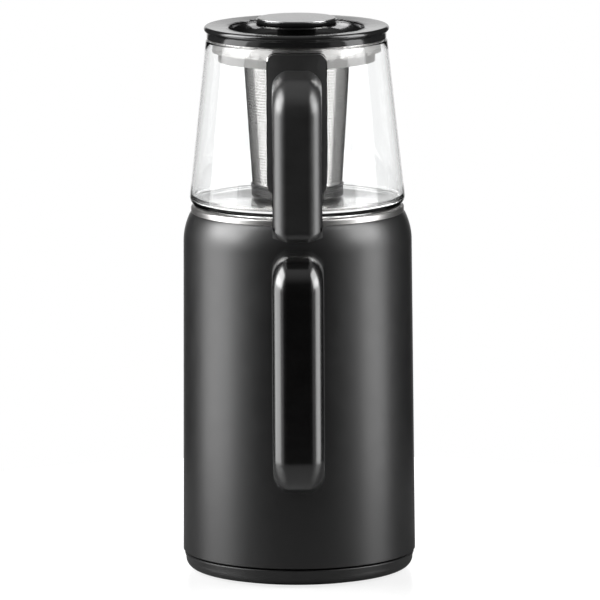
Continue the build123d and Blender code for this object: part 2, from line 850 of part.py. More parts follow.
# Bimetal control between the socket and the heater plate, with its fixing tabs.
with BuildPart() as thermostat:
    with BuildSketch(Plane.XY.offset(socket_top + slip_gap)):
        Circle(thermostat_radius)
    extrude(amount=thermostat_height)
    with BuildSketch(Plane.XY.offset(plate_underside)):
        Rectangle(2 * (thermostat_radius + thermostat_tab_reach), thermostat_tab_width)
    extrude(amount=-thermostat_tab_thickness)
thermostat.part.label = "thermostat"
export_step(thermostat.part, "parts/thermostat.step")


def handle_loop(inset):
    """Closed side outline of the kettle handle, inset from its outside."""
    with BuildLine() as outline:
        FilletPolyline(
            (-shell_top_radius / 2, kettle_handle_bottom + inset),
            (-kettle_handle_reach + inset, kettle_handle_bottom + inset),
            (-kettle_handle_reach + inset, kettle_handle_top - inset),
            (-shell_top_radius / 2, kettle_handle_top - inset),
            radius=kettle_handle_corner - inset,
            close=True,
        )
    return outline.edges()


kettle_handle_reach = shell_top_radius + kettle_handle_stand
kettle_handle_top = shell_top - kettle_handle_drop
kettle_handle_bottom = kettle_handle_top - kettle_handle_height
kettle_handle_depth = kettle_handle_shell_depth + kettle_handle_cover_depth


def at_side(edges, half_width):
    """The edges that lie in the two side faces."""
    return edges.filter_by(lambda e: abs(abs(e.center().X) - half_width) < parting_gap / 2)


kettle_clear = kettle_form(sheet_gap, shell_bottom, shell_lip_chamfer)
finger_face = kettle_handle_reach - kettle_handle_depth
handle_screw_heights = (
    kettle_handle_bottom + kettle_handle_depth + handle_screw_inset,
    kettle_handle_top - kettle_handle_depth - handle_screw_inset,
)
kettle_cover_inset = kettle_handle_shell_depth + parting_gap
kettle_cover_width = kettle_handle_width - 2 * handle_cover_narrower
bracket_heights = (
    kettle_handle_top - kettle_handle_shell_depth / 2,
    kettle_handle_bottom + kettle_handle_shell_depth / 2,
)


def bracket_blocks(growth):
    """Steel blocks on the kettle's wall that the two ends of the handle push over."""
    blocks = []
    for height in bracket_heights:
        with BuildPart() as block:
            with BuildSketch(Plane.XZ.offset(shell_top_radius / 2)):
                with Locations((0, height)):
                    Rectangle(bracket_width + 2 * growth, bracket_height + 2 * growth)
            extrude(amount=shell_top_radius / 2 + bracket_length + growth)
            add(kettle_clear, mode=Mode.SUBTRACT)
        blocks.append(block.part)
    return blocks


# Outer half of the kettle handle: a closed loop with well rounded outer edges.
with BuildPart() as kettle_handle:
    with BuildSketch(Plane.YZ):
        make_face(handle_loop(0))
    extrude(amount=kettle_handle_width / 2, both=True)
    fillet(at_side(kettle_handle.edges(), kettle_handle_width / 2), radius=kettle_handle_edge_round)
    with BuildSketch(Plane.YZ):
        make_face(handle_loop(kettle_handle_shell_depth))
    extrude(amount=kettle_handle_width, both=True, mode=Mode.SUBTRACT)
    add(kettle_clear, mode=Mode.SUBTRACT)
    for block in bracket_blocks(parting_gap):
        add(block, mode=Mode.SUBTRACT)
    with BuildSketch(Plane.XZ.offset(finger_face)):
        with Locations(*[(0, height) for height in handle_screw_heights]):
            Circle(handle_screw_radius / 2 + parting_gap)
    extrude(amount=handle_screw_length, mode=Mode.SUBTRACT)
kettle_handle.part.label = "kettle_handle"
export_step(kettle_handle.part, "parts/kettle_handle.step")

# Inner cover of the kettle handle, which faces the fingers.
with BuildPart() as kettle_handle_cover:
    with BuildSketch(Plane.YZ):
        make_face(handle_loop(kettle_cover_inset))
    extrude(amount=kettle_cover_width / 2, both=True)
    with BuildSketch(Plane.YZ):
        make_face(handle_loop(kettle_handle_depth))
    extrude(amount=kettle_cover_width, both=True, mode=Mode.SUBTRACT)
    fillet(
        at_side(kettle_handle_cover.edges(Select.LAST), kettle_cover_width / 2),
        radius=handle_cover_edge_round,
    )
    add(kettle_clear, mode=Mode.SUBTRACT)
    with BuildSketch(Plane.XZ.offset(finger_face)):
        with Locations(*[(0, height) for height in handle_screw_heights]):
            Circle(handle_screw_radius + parting_gap)
    extrude(amount=handle_screw_head, mode=Mode.SUBTRACT)
    with BuildSketch(Plane.XZ.offset(finger_face)):
        with Locations(*[(0, height) for height in handle_screw_heights]):
            Circle(handle_screw_radius / 2 + parting_gap)
    extrude(amount=kettle_handle_depth, mode=Mode.SUBTRACT)
kettle_handle_cover.part.label = "kettle_handle_cover"
export_step(kettle_handle_cover.part, "parts/kettle_handle_cover.step")

kettle_handle_brackets = Compound(children=bracket_blocks(0))
kettle_handle_brackets.label = "kettle_handle_brackets"
export_step(kettle_handle_brackets, "parts/kettle_handle_brackets.step")

kettle_handle_screws = Compound(
    children=screws(
        [(0, -finger_face, height) for height in handle_screw_heights],
        (0, -1, 0),
        handle_screw_radius,
        handle_screw_head,
        handle_screw_length,
    )
)
kettle_handle_screws.label = "kettle_handle_screws"
export_step(kettle_handle_screws, "parts/kettle_handle_screws.step")

# ================================================================ kettle lid

# Steel lid with a raised ring, a recessed cup with a bar to lift it by, and steam holes.
skirt_radius = rim_mouth_radius - kettle_lid_skirt_gap
cup_floor = rim_top - kettle_lid_cup_depth

with BuildPart() as kettle_lid:
    with BuildSketch(Plane.XY.offset(rim_top + seat_gap)):
        Circle(kettle_lid_radius)
    extrude(amount=kettle_lid_sheet)
    with BuildSketch(Plane.XY.offset(rim_top + seat_gap)):
        Circle(kettle_lid_boss_radius)
    extrude(amount=kettle_lid_sheet + kettle_lid_boss_height)
    with BuildSketch(Plane.XY.offset(rim_top + seat_gap)):
        Circle(skirt_radius)
        Circle(skirt_radius - kettle_lid_sheet, mode=Mode.SUBTRACT)
    extrude(amount=-kettle_lid_skirt_depth)
    with BuildSketch(Plane.XY.offset(cup_floor - kettle_lid_sheet)):
        Circle(kettle_lid_cup_radius + kettle_lid_sheet)
    extrude(amount=rim_top + seat_gap - cup_floor + kettle_lid_sheet)
    with BuildSketch(Plane.XY.offset(cup_floor)):
        Circle(kettle_lid_cup_radius)
    extrude(amount=rim_height + kettle_lid_cup_depth, mode=Mode.SUBTRACT)
    with BuildSketch(Plane.XY.offset(rim_top + seat_gap + kettle_lid_sheet)):
        Rectangle(2 * kettle_lid_cup_radius + kettle_lid_sheet, kettle_lid_bar_width)
    extrude(amount=-kettle_lid_bar_height)
    with BuildSketch(Plane.XY.offset(rim_top)):
        with PolarLocations(steam_hole_circle, steam_hole_count):
            Circle(steam_hole_radius)
    extrude(amount=rim_height, mode=Mode.SUBTRACT)
kettle_lid.part.label = "kettle_lid"
export_step(kettle_lid.part, "parts/kettle_lid.step")

# Silicone seal on the lid's skirt.
with BuildPart() as kettle_lid_seal:
    with BuildSketch(Plane.XY.offset(rim_top - rim_top_thickness)):
        Circle(rim_mouth_radius - lid_seal_gap)
        Circle(skirt_radius, mode=Mode.SUBTRACT)
    extrude(amount=-lid_seal_height)
kettle_lid_seal.part.label = "kettle_lid_seal"
export_step(kettle_lid_seal.part, "parts/kettle_lid_seal.step")

# ================================================================ teapot


def pour_lip(inset):
    """Slanting cone of the glass's pouring lip, with its wall's outside inset."""
    root_height = glass_top - pour_lip_length
    with BuildPart() as cone:
        with BuildSketch(Plane.XY.offset(root_height)):
            with Locations((0, glass_radius(root_height) - pour_lip_root_radius - inset)):
                Circle(pour_lip_root_radius - inset / 2)
        with BuildSketch(Plane.XY.offset(glass_top)):
            with Locations((0, glass_top_radius + pour_lip_reach - pour_lip_top_radius)):
                Circle(pour_lip_top_radius - inset)
        loft()
    return cone.part


lip_outside = pour_lip(0)
lip_inside = pour_lip(glass_wall)

# Blown glass body: heel and recessed foot below, straight tapered wall, pouring lip at the back.
with BuildPart() as teapot_glass:
    with BuildSketch(Plane.XZ):
        with BuildLine():
            Polyline(
                (0, glass_top),
                (0, glass_bottom + glass_recess),
                (glass_foot_inner, glass_bottom + glass_recess),
                (glass_foot_inner + glass_recess / 2, glass_bottom),
                (glass_foot_outer, glass_bottom),
            )
            ThreePointArc(
                (glass_foot_outer, glass_bottom),
                (
                    glass_foot_outer + glass_foot_inset * sin(mid_quarter),
                    glass_heel_top - glass_heel_height * cos(mid_quarter),
                ),
                (glass_heel_radius, glass_heel_top),
            )
            Polyline((glass_heel_radius, glass_heel_top), (glass_top_radius, glass_top), (0, glass_top))
        make_face()
    revolve(axis=Axis.Z)
    add(lip_outside)
    with BuildSketch(Plane.XZ):
        with BuildLine():
            inner_floor_radius = glass_radius(glass_floor_top, glass_wall)
            floor_corner_top = glass_floor_top + glass_floor_corner
            Polyline(
                (0, glass_floor_top),
                (inner_floor_radius - glass_floor_corner, glass_floor_top),
                (glass_radius(floor_corner_top, glass_wall), floor_corner_top),
                (glass_top_radius - glass_wall, glass_top),
                (0, glass_top),
                close=True,
            )
        make_face()
    revolve(axis=Axis.Z, mode=Mode.SUBTRACT)
    add(lip_inside, mode=Mode.SUBTRACT)
teapot_glass.part.label = "teapot_glass"
export_step(teapot_glass.part, "parts/teapot_glass.step")


def strip_on_glass(inner, outer, width, top, bottom, corner):
    """Rounded strip that follows the glass from inner to outer beyond it."""
    outer_form = glass_form(outer, bottom, top)
    inner_form = glass_form(inner, bottom, top)
    with BuildPart() as strip:
        with BuildSketch(Plane.XZ):
            with Locations((0, (top + bottom) / 2)):
                RectangleRounded(width, top - bottom, corner)
        extrude(amount=glass_heel_radius + outer)
        add(outer_form, mode=Mode.INTERSECT)
        add(inner_form, mode=Mode.SUBTRACT)
    return strip


teapot_bracket = strip_on_glass(
    bond_gap,
    bond_gap + bracket_sheet,
    plate_width + 2 * bracket_rim,
    plate_top + bracket_rim,
    plate_bottom - bracket_rim,
    plate_corner_radius + bracket_rim,
)
teapot_bracket.part.label = "teapot_bracket"
export_step(teapot_bracket.part, "parts/teapot_bracket.step")

plate_inside = bond_gap + bracket_sheet
plate_outside = plate_inside + plate_thickness
teapot_handle_plate = strip_on_glass(
    plate_inside, plate_outside, plate_width, plate_top, plate_bottom, plate_corner_radius
)
teapot_handle_plate.part.label = "teapot_handle_plate"
export_step(teapot_handle_plate.part, "parts/teapot_handle_plate.step")

grip_root = -glass_top_radius / 2
grip_reach = glass_heel_radius + grip_stand
grip_top = glass_top - grip_drop
grip_end = grip_top - grip_length
grip_depth = grip_shell_depth + grip_cover_depth
grip_finger_face = grip_reach - grip_depth
grip_root_form = glass_form(plate_outside, plate_bottom, glass_top)


def grip_outline(inset, end):
    """Side outline of the teapot's grip: an arm from the plate that turns down, inset from its outside."""
    with BuildLine() as outline:
        FilletPolyline(
            (grip_root, grip_top - inset),
            (-grip_reach + inset, grip_top - grip_fall - inset),
            (-grip_reach + inset, end),
            radius=grip_corner - inset,
        )
        Polyline((-grip_reach + inset, end), (grip_root, end), (grip_root, grip_top - inset))
    return outline.edges()


grip_screw_heights = (
    grip_top - grip_depth - grip_screw_drop,
    grip_top - grip_depth - grip_screw_drop - grip_screw_pitch,
)

# Outer half of the grip, with a round free end.
with BuildPart() as teapot_grip:
    with BuildSketch(Plane.YZ):
        make_face(grip_outline(0, grip_end))
    extrude(amount=grip_width / 2, both=True)
    fillet(teapot_grip.edges().filter_by(Axis.Y).group_by(Axis.Z)[0], radius=grip_end_round)
    rounds = at_side(teapot_grip.edges(), grip_width / 2)
    rounds = rounds.filter_by(lambda e: e.center().Y < grip_root - parting_gap)
    rounds = rounds.filter_by(lambda e: e.center().Z > grip_end + grip_end_round)
    rounds += teapot_grip.edges().filter_by(lambda e: e.bounding_box().max.Y < parting_gap - grip_reach)
    fillet(set(rounds), radius=grip_edge_round)
    with BuildSketch(Plane.YZ):
        make_face(grip_outline(grip_shell_depth, grip_end - grip_depth))
    extrude(amount=grip_width, both=True, mode=Mode.SUBTRACT)
    add(grip_root_form, mode=Mode.SUBTRACT)
    with BuildSketch(Plane.XZ.offset(grip_finger_face)):
        with Locations(*[(0, height) for height in grip_screw_heights]):
            Circle(grip_screw_radius / 2 + parting_gap)
    extrude(amount=grip_screw_length, mode=Mode.SUBTRACT)
teapot_grip.part.label = "teapot_grip"
export_step(teapot_grip.part, "parts/teapot_grip.step")

# Inner cover of the grip, which faces the fingers.
grip_cover_inset = grip_shell_depth + parting_gap
grip_cover_width = grip_width - 2 * handle_cover_narrower
with BuildPart() as teapot_grip_cover:
    with BuildSketch(Plane.YZ):
        make_face(grip_outline(grip_cover_inset, grip_end))
    extrude(amount=grip_cover_width / 2, both=True)
    fillet(teapot_grip_cover.edges().filter_by(Axis.Y).group_by(Axis.Z)[0], radius=grip_end_round)
    with BuildSketch(Plane.YZ):
        make_face(grip_outline(grip_depth, grip_end - grip_depth))
    extrude(amount=grip_cover_width, both=True, mode=Mode.SUBTRACT)
    add(grip_root_form, mode=Mode.SUBTRACT)
    with BuildSketch(Plane.XZ.offset(grip_finger_face)):
        with Locations(*[(0, height) for height in grip_screw_heights]):
            Circle(grip_screw_radius + parting_gap)
    extrude(amount=grip_screw_head, mode=Mode.SUBTRACT)
    with BuildSketch(Plane.XZ.offset(grip_finger_face)):
        with Locations(*[(0, height) for height in grip_screw_heights]):
            Circle(grip_screw_radius / 2 + parting_gap)
    extrude(amount=grip_depth, mode=Mode.SUBTRACT)
teapot_grip_cover.part.label = "teapot_grip_cover"
export_step(teapot_grip_cover.part, "parts/teapot_grip_cover.step")

teapot_grip_screws = Compound(
    children=screws(
        [(0, -grip_finger_face, height) for height in grip_screw_heights],
        (0, -1, 0),
        grip_screw_radius,
        grip_screw_head,
        grip_screw_length,
    )
)
teapot_grip_screws.label = "teapot_grip_screws"
export_step(teapot_grip_screws, "parts/teapot_grip_screws.step")

# ================================================================ infuser


def revolved(points, name):
    """Solid of revolution from a closed half section."""
    with BuildPart() as piece:
        with BuildSketch(Plane.XZ):
            with BuildLine():
                Polyline(*points, close=True)
            make_face()
        revolve(axis=Axis.Z)
    piece.part.label = name
    return piece


# Stepped steel flange that hangs in the teapot's mouth, pressed onto the cone's neck.
upper_step = flange_seat - flange_upper_depth
flange_hole_radius = cone_top_radius + sheet_gap
infuser_flange = revolved(
    [
        (glass_top_radius - flange_overhang, flange_seat),
        (glass_top_radius - flange_overhang, flange_top),
        (flange_upper_radius - flange_sheet, flange_top),
        (flange_upper_radius - flange_sheet, upper_step + flange_sheet),
        (flange_lower_radius - flange_sheet, upper_step + flange_sheet),
        (flange_lower_radius - flange_sheet, flange_bottom + flange_sheet),
        (flange_hole_radius, flange_bottom + flange_sheet),
        (flange_hole_radius, flange_bottom),
        (flange_lower_radius, flange_bottom),
        (flange_lower_radius, upper_step),
        (flange_upper_radius, upper_step),
        (flange_upper_radius, flange_seat),
    ],
    "infuser_flange",
)
export_step(infuser_flange.part, "parts/infuser_flange.step")

# Steel cone of the infuser, with a straight neck in the flange and its lower end inside the cup.
cone_end = cone_bottom + cup_height - cup_overlap
neck_bottom = flange_bottom - cone_neck
cone_slope = cone_taper / (neck_bottom - cone_end)
cup_inner_radius = cone_bottom_radius + cone_slope * cup_overlap + sheet_gap
infuser_cone = revolved(
    [
        (cone_bottom_radius, cone_end),
        (cone_bottom_radius - cone_sheet, cone_end),
        (cone_top_radius - cone_sheet, neck_bottom),
        (cone_top_radius - cone_sheet, flange_bottom + flange_sheet),
        (cone_top_radius, flange_bottom + flange_sheet),
        (cone_top_radius, neck_bottom),
    ],
    "infuser_cone",
)
export_step(infuser_cone.part, "parts/infuser_cone.step")

# Pressed cup that closes the infuser, with a rounded floor edge.
with BuildPart() as infuser_bottom:
    with BuildSketch(Plane.XY.offset(cone_bottom)):
        Circle(cup_inner_radius + cup_sheet)
    extrude(amount=cup_height)
    fillet(infuser_bottom.edges().group_by(Axis.Z)[0], radius=cup_round)
    offset(amount=-cup_sheet, openings=infuser_bottom.faces().sort_by(Axis.Z)[-1])
infuser_bottom.part.label = "infuser_bottom"
export_step(infuser_bottom.part, "parts/infuser_bottom.step")

# ================================================================ lid

dish_top = lid_top_height - lid_ring_fall
dish_floor = dish_top - lid_dish_depth
dish_floor_radius = lid_ring_inner - lid_dish_round
lid_inside = lid_underside + lid_shell
knob_top = knob_underside + knob_height
screw_hole_radius = knob_screw_radius + parting_gap

# Dished top of the lid, rounded over at its edge and waisted below it.
with BuildPart() as lid_top:
    with BuildSketch(Plane.XZ):
        with BuildLine():
            waist_top = lid_underside + lid_waist_height
            edge_foot = lid_top_height - 2 * lid_edge_drop
            Polyline(
                (screw_hole_radius, dish_floor),
                (screw_hole_radius, dish_floor - lid_shell),
                (dish_floor_radius + lid_shell / 2, dish_floor - lid_shell),
                (lid_ring_inner + lid_shell, lid_inside),
                (lid_waist_radius - lid_shell, lid_inside),
                (lid_waist_radius - lid_shell, lid_underside),
                (lid_waist_radius, lid_underside),
                (lid_waist_radius, waist_top),
                (lid_radius - lid_edge_drop / 2, edge_foot),
            )
            ThreePointArc(
                (lid_radius - lid_edge_drop / 2, edge_foot),
                (lid_radius, lid_top_height - lid_edge_drop),
                (lid_radius - lid_edge_drop, lid_top_height),
            )
            Line((lid_radius - lid_edge_drop, lid_top_height), (lid_ring_inner, dish_top))
            ThreePointArc(
                (lid_ring_inner, dish_top),
                (
                    dish_floor_radius + lid_dish_round * cos(mid_quarter),
                    dish_top - lid_dish_depth * sin(mid_quarter),
                ),
                (dish_floor_radius, dish_floor),
            )
            Line((dish_floor_radius, dish_floor), (screw_hole_radius, dish_floor))
        make_face()
    revolve(axis=Axis.Z)
lid_top.part.label = "lid_top"
export_step(lid_top.part, "parts/lid_top.step")

# Liner cup below the lid, which closes it from underneath.
liner_radius = flange_lower_radius - flange_sheet - liner_gap
liner_floor = flange_bottom + flange_sheet + liner_floor_above_flange
lid_liner = revolved(
    [
        (0, liner_floor),
        (liner_radius, liner_floor),
        (liner_radius, lid_inside),
        (liner_radius - liner_thickness, lid_inside),
        (liner_radius - liner_thickness, liner_floor + liner_thickness),
        (0, liner_floor + liner_thickness),
    ],
    "lid_liner",
)
export_step(lid_liner.part, "parts/lid_liner.step")

# Silicone gasket that hangs inside the flange.
gasket_radius = flange_upper_radius - flange_sheet - slip_gap
with BuildPart() as lid_gasket:
    with BuildSketch(Plane.XY.offset(flange_top - gasket_depth)):
        Circle(gasket_radius)
        Circle(gasket_radius - gasket_width, mode=Mode.SUBTRACT)
    extrude(amount=lid_inside - flange_top + gasket_depth)
lid_gasket.part.label = "lid_gasket"
export_step(lid_gasket.part, "parts/lid_gasket.step")

# Knob with its stem, bright ring and inset metal disc.
with BuildPart() as lid_knob:
    with BuildSketch(Plane.XY.offset(knob_underside)):
        Circle(knob_radius)
    extrude(amount=knob_height)
    fillet(lid_knob.edges().group_by(Axis.Z)[-1], radius=knob_edge_round)
    with BuildSketch(Plane.XY.offset(dish_floor)):
        Circle(knob_stem_radius)
    extrude(amount=knob_underside - dish_floor)
    with BuildSketch(Plane.XY.offset(dish_floor)):
        Circle(screw_hole_radius)
    extrude(amount=knob_screw_length, mode=Mode.SUBTRACT)
lid_knob.part.label = "lid_knob"
export_step(lid_knob.part, "parts/lid_knob.step")

with BuildPart() as knob_disc:
    with BuildSketch(Plane.XY.offset(knob_top)):
        Circle(knob_radius - knob_disc_inset)
    extrude(amount=knob_disc_thickness)
    fillet(knob_disc.edges().group_by(Axis.Z)[-1], radius=knob_disc_round)
knob_disc.part.label = "knob_disc"
export_step(knob_disc.part, "parts/knob_disc.step")

with BuildPart() as knob_ring:
    with BuildSketch(Plane.XY.offset(knob_underside)):
        Circle(knob_radius)
        Circle(knob_radius - knob_ring_width, mode=Mode.SUBTRACT)
    extrude(amount=-knob_ring_height)
knob_ring.part.label = "knob_ring"
export_step(knob_ring.part, "parts/knob_ring.step")

with BuildPart() as knob_screw:
    with BuildSketch(Plane.XY.offset(dish_floor - lid_shell)):
        Circle(knob_screw_head_radius)
    extrude(amount=-knob_screw_head)
    with BuildSketch(Plane.XY.offset(dish_floor - lid_shell)):
        Circle(knob_screw_radius)
    extrude(amount=knob_screw_length)
knob_screw.part.label = "knob_screw"
export_step(knob_screw.part, "parts/knob_screw.step")
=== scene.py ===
import json
from math import asin, cos, pi, radians, sin

import bpy
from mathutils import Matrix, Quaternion, Vector

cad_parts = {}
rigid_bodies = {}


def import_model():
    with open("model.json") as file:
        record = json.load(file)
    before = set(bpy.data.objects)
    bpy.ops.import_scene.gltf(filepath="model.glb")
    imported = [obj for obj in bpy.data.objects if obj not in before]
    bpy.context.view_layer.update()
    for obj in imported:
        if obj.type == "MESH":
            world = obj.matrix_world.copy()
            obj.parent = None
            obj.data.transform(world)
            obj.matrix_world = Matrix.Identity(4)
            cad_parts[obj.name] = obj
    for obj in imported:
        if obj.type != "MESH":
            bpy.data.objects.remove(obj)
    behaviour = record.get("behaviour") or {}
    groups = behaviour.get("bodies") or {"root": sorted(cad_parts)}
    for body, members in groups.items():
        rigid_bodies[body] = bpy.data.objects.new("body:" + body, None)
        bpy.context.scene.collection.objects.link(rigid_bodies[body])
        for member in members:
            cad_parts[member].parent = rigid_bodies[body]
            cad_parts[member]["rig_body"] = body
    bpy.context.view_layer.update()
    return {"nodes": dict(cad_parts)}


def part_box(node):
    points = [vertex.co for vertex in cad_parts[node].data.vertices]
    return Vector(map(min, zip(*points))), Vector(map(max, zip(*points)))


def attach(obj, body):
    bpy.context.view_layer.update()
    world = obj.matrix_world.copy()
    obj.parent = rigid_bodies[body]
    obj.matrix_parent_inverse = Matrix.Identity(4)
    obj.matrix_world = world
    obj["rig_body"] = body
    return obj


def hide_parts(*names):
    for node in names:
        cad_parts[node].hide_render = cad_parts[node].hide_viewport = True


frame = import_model()

bl_info = {
    "name": "Two-Tier Tea Maker",
    "version": (1, 0, 0),
    "blender": (4, 5, 0),
    "location": "View3D > Sidebar > Tea Maker",
    "description": "Models and finishes the pieces of an electric tea maker around its fixed frame",
    "category": "Add Mesh",
}

MILLIMETRE = 0.001
WELD = 1e-6  # vertices nearer than this are one
CRISP_EDGE = 0.0004  # rounding of an edge that looks sharp
INFUSER_SHEET = 0.0004  # thickness of the cone's and the cup's sheet
GLASS_HEEL_HEIGHT = 0.005  # of the rounding from the teapot's foot to its wall


def low(node):
    """Lowest corner of a fixed piece."""
    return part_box(node)[0]


def high(node):
    """Highest corner of a fixed piece."""
    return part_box(node)[1]


# ---------------------------------------------------------------- sizes and colours


class TeaMakerSizes(bpy.types.PropertyGroup):
    """Sizes of the tea maker's pieces"""

    steps: bpy.props.IntProperty(
        name="Turning Steps", description="Steps round every turned piece", default=192, min=48
    )
    shell_taper: bpy.props.FloatProperty(
        name="Shell Taper",
        description="How much narrower the kettle is at its shoulder than at its foot",
        default=0.0016,
        unit="LENGTH",
    )
    shell_wall: bpy.props.FloatProperty(
        name="Shell Wall", description="Sheet of the kettle's shell", default=0.0012, unit="LENGTH"
    )
    shoulder_height: bpy.props.FloatProperty(
        name="Shoulder Height", description="Height of the kettle's shoulder", default=0.020, unit="LENGTH"
    )
    shoulder_radius: bpy.props.FloatProperty(
        name="Shoulder Radius", description="Radius of the shoulder's arc", default=0.042, unit="LENGTH"
    )
    rim_round: bpy.props.FloatProperty(
        name="Rim Rounding",
        description="Rounding of the polished rim's top edge",
        default=0.001,
        unit="LENGTH",
    )
    glass_wall: bpy.props.FloatProperty(
        name="Glass Wall", description="Thickness of the teapot's glass", default=0.0022, unit="LENGTH"
    )
    glass_taper: bpy.props.FloatProperty(
        name="Glass Taper",
        description="How much narrower the teapot is at its mouth than at its heel",
        default=0.0116,
        unit="LENGTH",
    )
    kettle_handle_round: bpy.props.FloatProperty(
        name="Kettle Handle Rounding",
        description="Rounding along the outer edges of the kettle's handle",
        default=0.0105,
        unit="LENGTH",
    )
    grip_round: bpy.props.FloatProperty(
        name="Grip Rounding",
        description="Rounding along the outer edges of the teapot's grip",
        default=0.0098,
        unit="LENGTH",
    )
    hole_pitch: bpy.props.FloatProperty(
        name="Row Pitch",
        description="Height between the infuser's rows of holes",
        default=0.00196,
        unit="LENGTH",
    )
    hole_spacing: bpy.props.FloatProperty(
        name="Hole Spacing",
        description="Distance between the holes of a row",
        default=0.0014,
        unit="LENGTH",
    )
    hole_margin: bpy.props.FloatProperty(
        name="Hole Margin", description="Steel left round each hole", default=0.00038, unit="LENGTH"
    )


class TeaMakerColours(bpy.types.PropertyGroup):
    """Colours of the tea maker's finishes"""

    paint: bpy.props.FloatVectorProperty(
        name="Black Paint", description="Kettle shell", subtype="COLOR", default=(0.006, 0.006, 0.0062)
    )
    plastic: bpy.props.FloatVectorProperty(
        name="Black Plastic",
        description="Power base and inner mouldings",
        subtype="COLOR",
        default=(0.020, 0.020, 0.020),
    )
    gloss: bpy.props.FloatVectorProperty(
        name="Gloss Black", description="Lid and buttons", subtype="COLOR", default=(0.014, 0.014, 0.0141)
    )
    grip: bpy.props.FloatVectorProperty(
        name="Teapot Handle", description="Teapot's grip", subtype="COLOR", default=(0.021, 0.021, 0.0211)
    )
    handle: bpy.props.FloatVectorProperty(
        name="Kettle Handle",
        description="Kettle's handle",
        subtype="COLOR",
        default=(0.0016, 0.0016, 0.0016),
    )
    steel: bpy.props.FloatVectorProperty(
        name="Steel",
        description="Polished and brushed steel",
        subtype="COLOR",
        default=(0.62, 0.61, 0.60),
    )
    disc: bpy.props.FloatVectorProperty(
        name="Knob Disc",
        description="Metal disc in the knob",
        subtype="COLOR",
        default=(0.66, 0.66, 0.66),
    )
    floor: bpy.props.FloatVectorProperty(
        name="Floor", description="Floor under the tea maker", subtype="COLOR", default=(0.25, 0.25, 0.25)
    )


# ---------------------------------------------------------------- modelling steps


def only(piece=None):
    """Leave nothing selected, or one piece."""
    if bpy.context.object and bpy.context.object.mode != "OBJECT":
        bpy.ops.object.mode_set(mode="OBJECT")
    bpy.ops.object.select_all(action="DESELECT")
    if piece:
        piece.select_set(True)
        bpy.context.view_layer.objects.active = piece


def drawn(name, points, closed):
    """Line of edges through the points, left in edit mode with all of it selected."""
    only()
    bpy.ops.mesh.primitive_circle_add(vertices=3, radius=MILLIMETRE, location=points[0])
    piece = bpy.context.object
    piece.name = piece.data.name = name
    bpy.ops.object.transform_apply(location=True, rotation=False, scale=False)
    bpy.ops.object.mode_set(mode="EDIT")
    bpy.ops.mesh.select_mode(type="VERT")
    bpy.ops.mesh.select_all(action="SELECT")
    bpy.ops.mesh.merge(type="CENTER")
    path = [Vector(point) for point in points] + [Vector(points[0])] * closed
    for here, there in zip(path, path[1:]):
        bpy.ops.mesh.extrude_vertices_move(TRANSFORM_OT_translate={"value": there - here})
    bpy.ops.mesh.select_all(action="SELECT")
    bpy.ops.mesh.remove_doubles(threshold=WELD)
    bpy.ops.mesh.select_all(action="SELECT")
    return piece


def spun(name, section, closed=True):
    """Piece turned about the upright axis from a half section of radii and heights."""
    piece = drawn(name, [(radius, 0, height) for radius, height in section], closed)
    steps = bpy.context.scene.tea_maker_sizes.steps
    bpy.ops.mesh.spin(steps=steps, angle=2 * pi, center=(0, 0, 0), axis=(0, 0, 1))
    bpy.ops.mesh.select_all(action="SELECT")
    bpy.ops.mesh.remove_doubles(threshold=WELD)
    bpy.ops.mesh.normals_make_consistent(inside=False)
    only(piece)
    return piece


def rounded(points, radii, steps):
    """Corners of an open line rounded by the radii; a corner with no radius stays sharp."""
    line = [Vector(points[0])]
    for index in range(1, len(points) - 1):
        before, corner, after = (Vector(points[index + shift]) for shift in (-1, 0, 1))
        radius = radii.get(index, 0)
        if not radius:
            line.append(corner)
            continue
        arriving = (before - corner).normalized()
        leaving = (after - corner).normalized()
        half = arriving.angle(leaving) / 2
        centre = corner + (arriving + leaving).normalized() * radius / sin(half)
        first = corner + arriving * radius * cos(half) / sin(half) - centre
        last = corner + leaving * radius * cos(half) / sin(half) - centre
        for step in range(steps + 1):
            line.append(centre + first.slerp(last, step / steps) * radius)
    line.append(Vector(points[-1]))
    return line


def select_vertices(piece, wanted):
    """In edit mode, select only the vertices that pass the test."""
    bpy.ops.object.mode_set(mode="OBJECT")
    mesh = piece.data
    for item in (*mesh.edges, *mesh.polygons):
        item.select = False
    for vertex in mesh.vertices:
        vertex.select = wanted(vertex.co)
    bpy.ops.object.mode_set(mode="EDIT")
    bpy.ops.mesh.select_mode(type="VERT")


def select_edges(piece, wanted):
    """In edit mode, select only the edges whose two ends pass the test."""
    bpy.ops.object.mode_set(mode="OBJECT")
    mesh = piece.data
    for polygon in mesh.polygons:
        polygon.select = False
    for vertex in mesh.vertices:
        vertex.select = False
    for edge in mesh.edges:
        edge.select = all(wanted(mesh.vertices[index].co) for index in edge.vertices)
    bpy.ops.object.mode_set(mode="EDIT")
    bpy.ops.mesh.select_mode(type="EDGE")


def select_faces(piece, wanted):
    """In edit mode, select only the faces whose centre passes the test."""
    bpy.ops.object.mode_set(mode="OBJECT")
    mesh = piece.data
    for item in (*mesh.vertices, *mesh.edges):
        item.select = False
    for polygon in mesh.polygons:
        polygon.select = wanted(polygon.center)
    bpy.ops.object.mode_set(mode="EDIT")
    bpy.ops.mesh.select_mode(type="FACE")


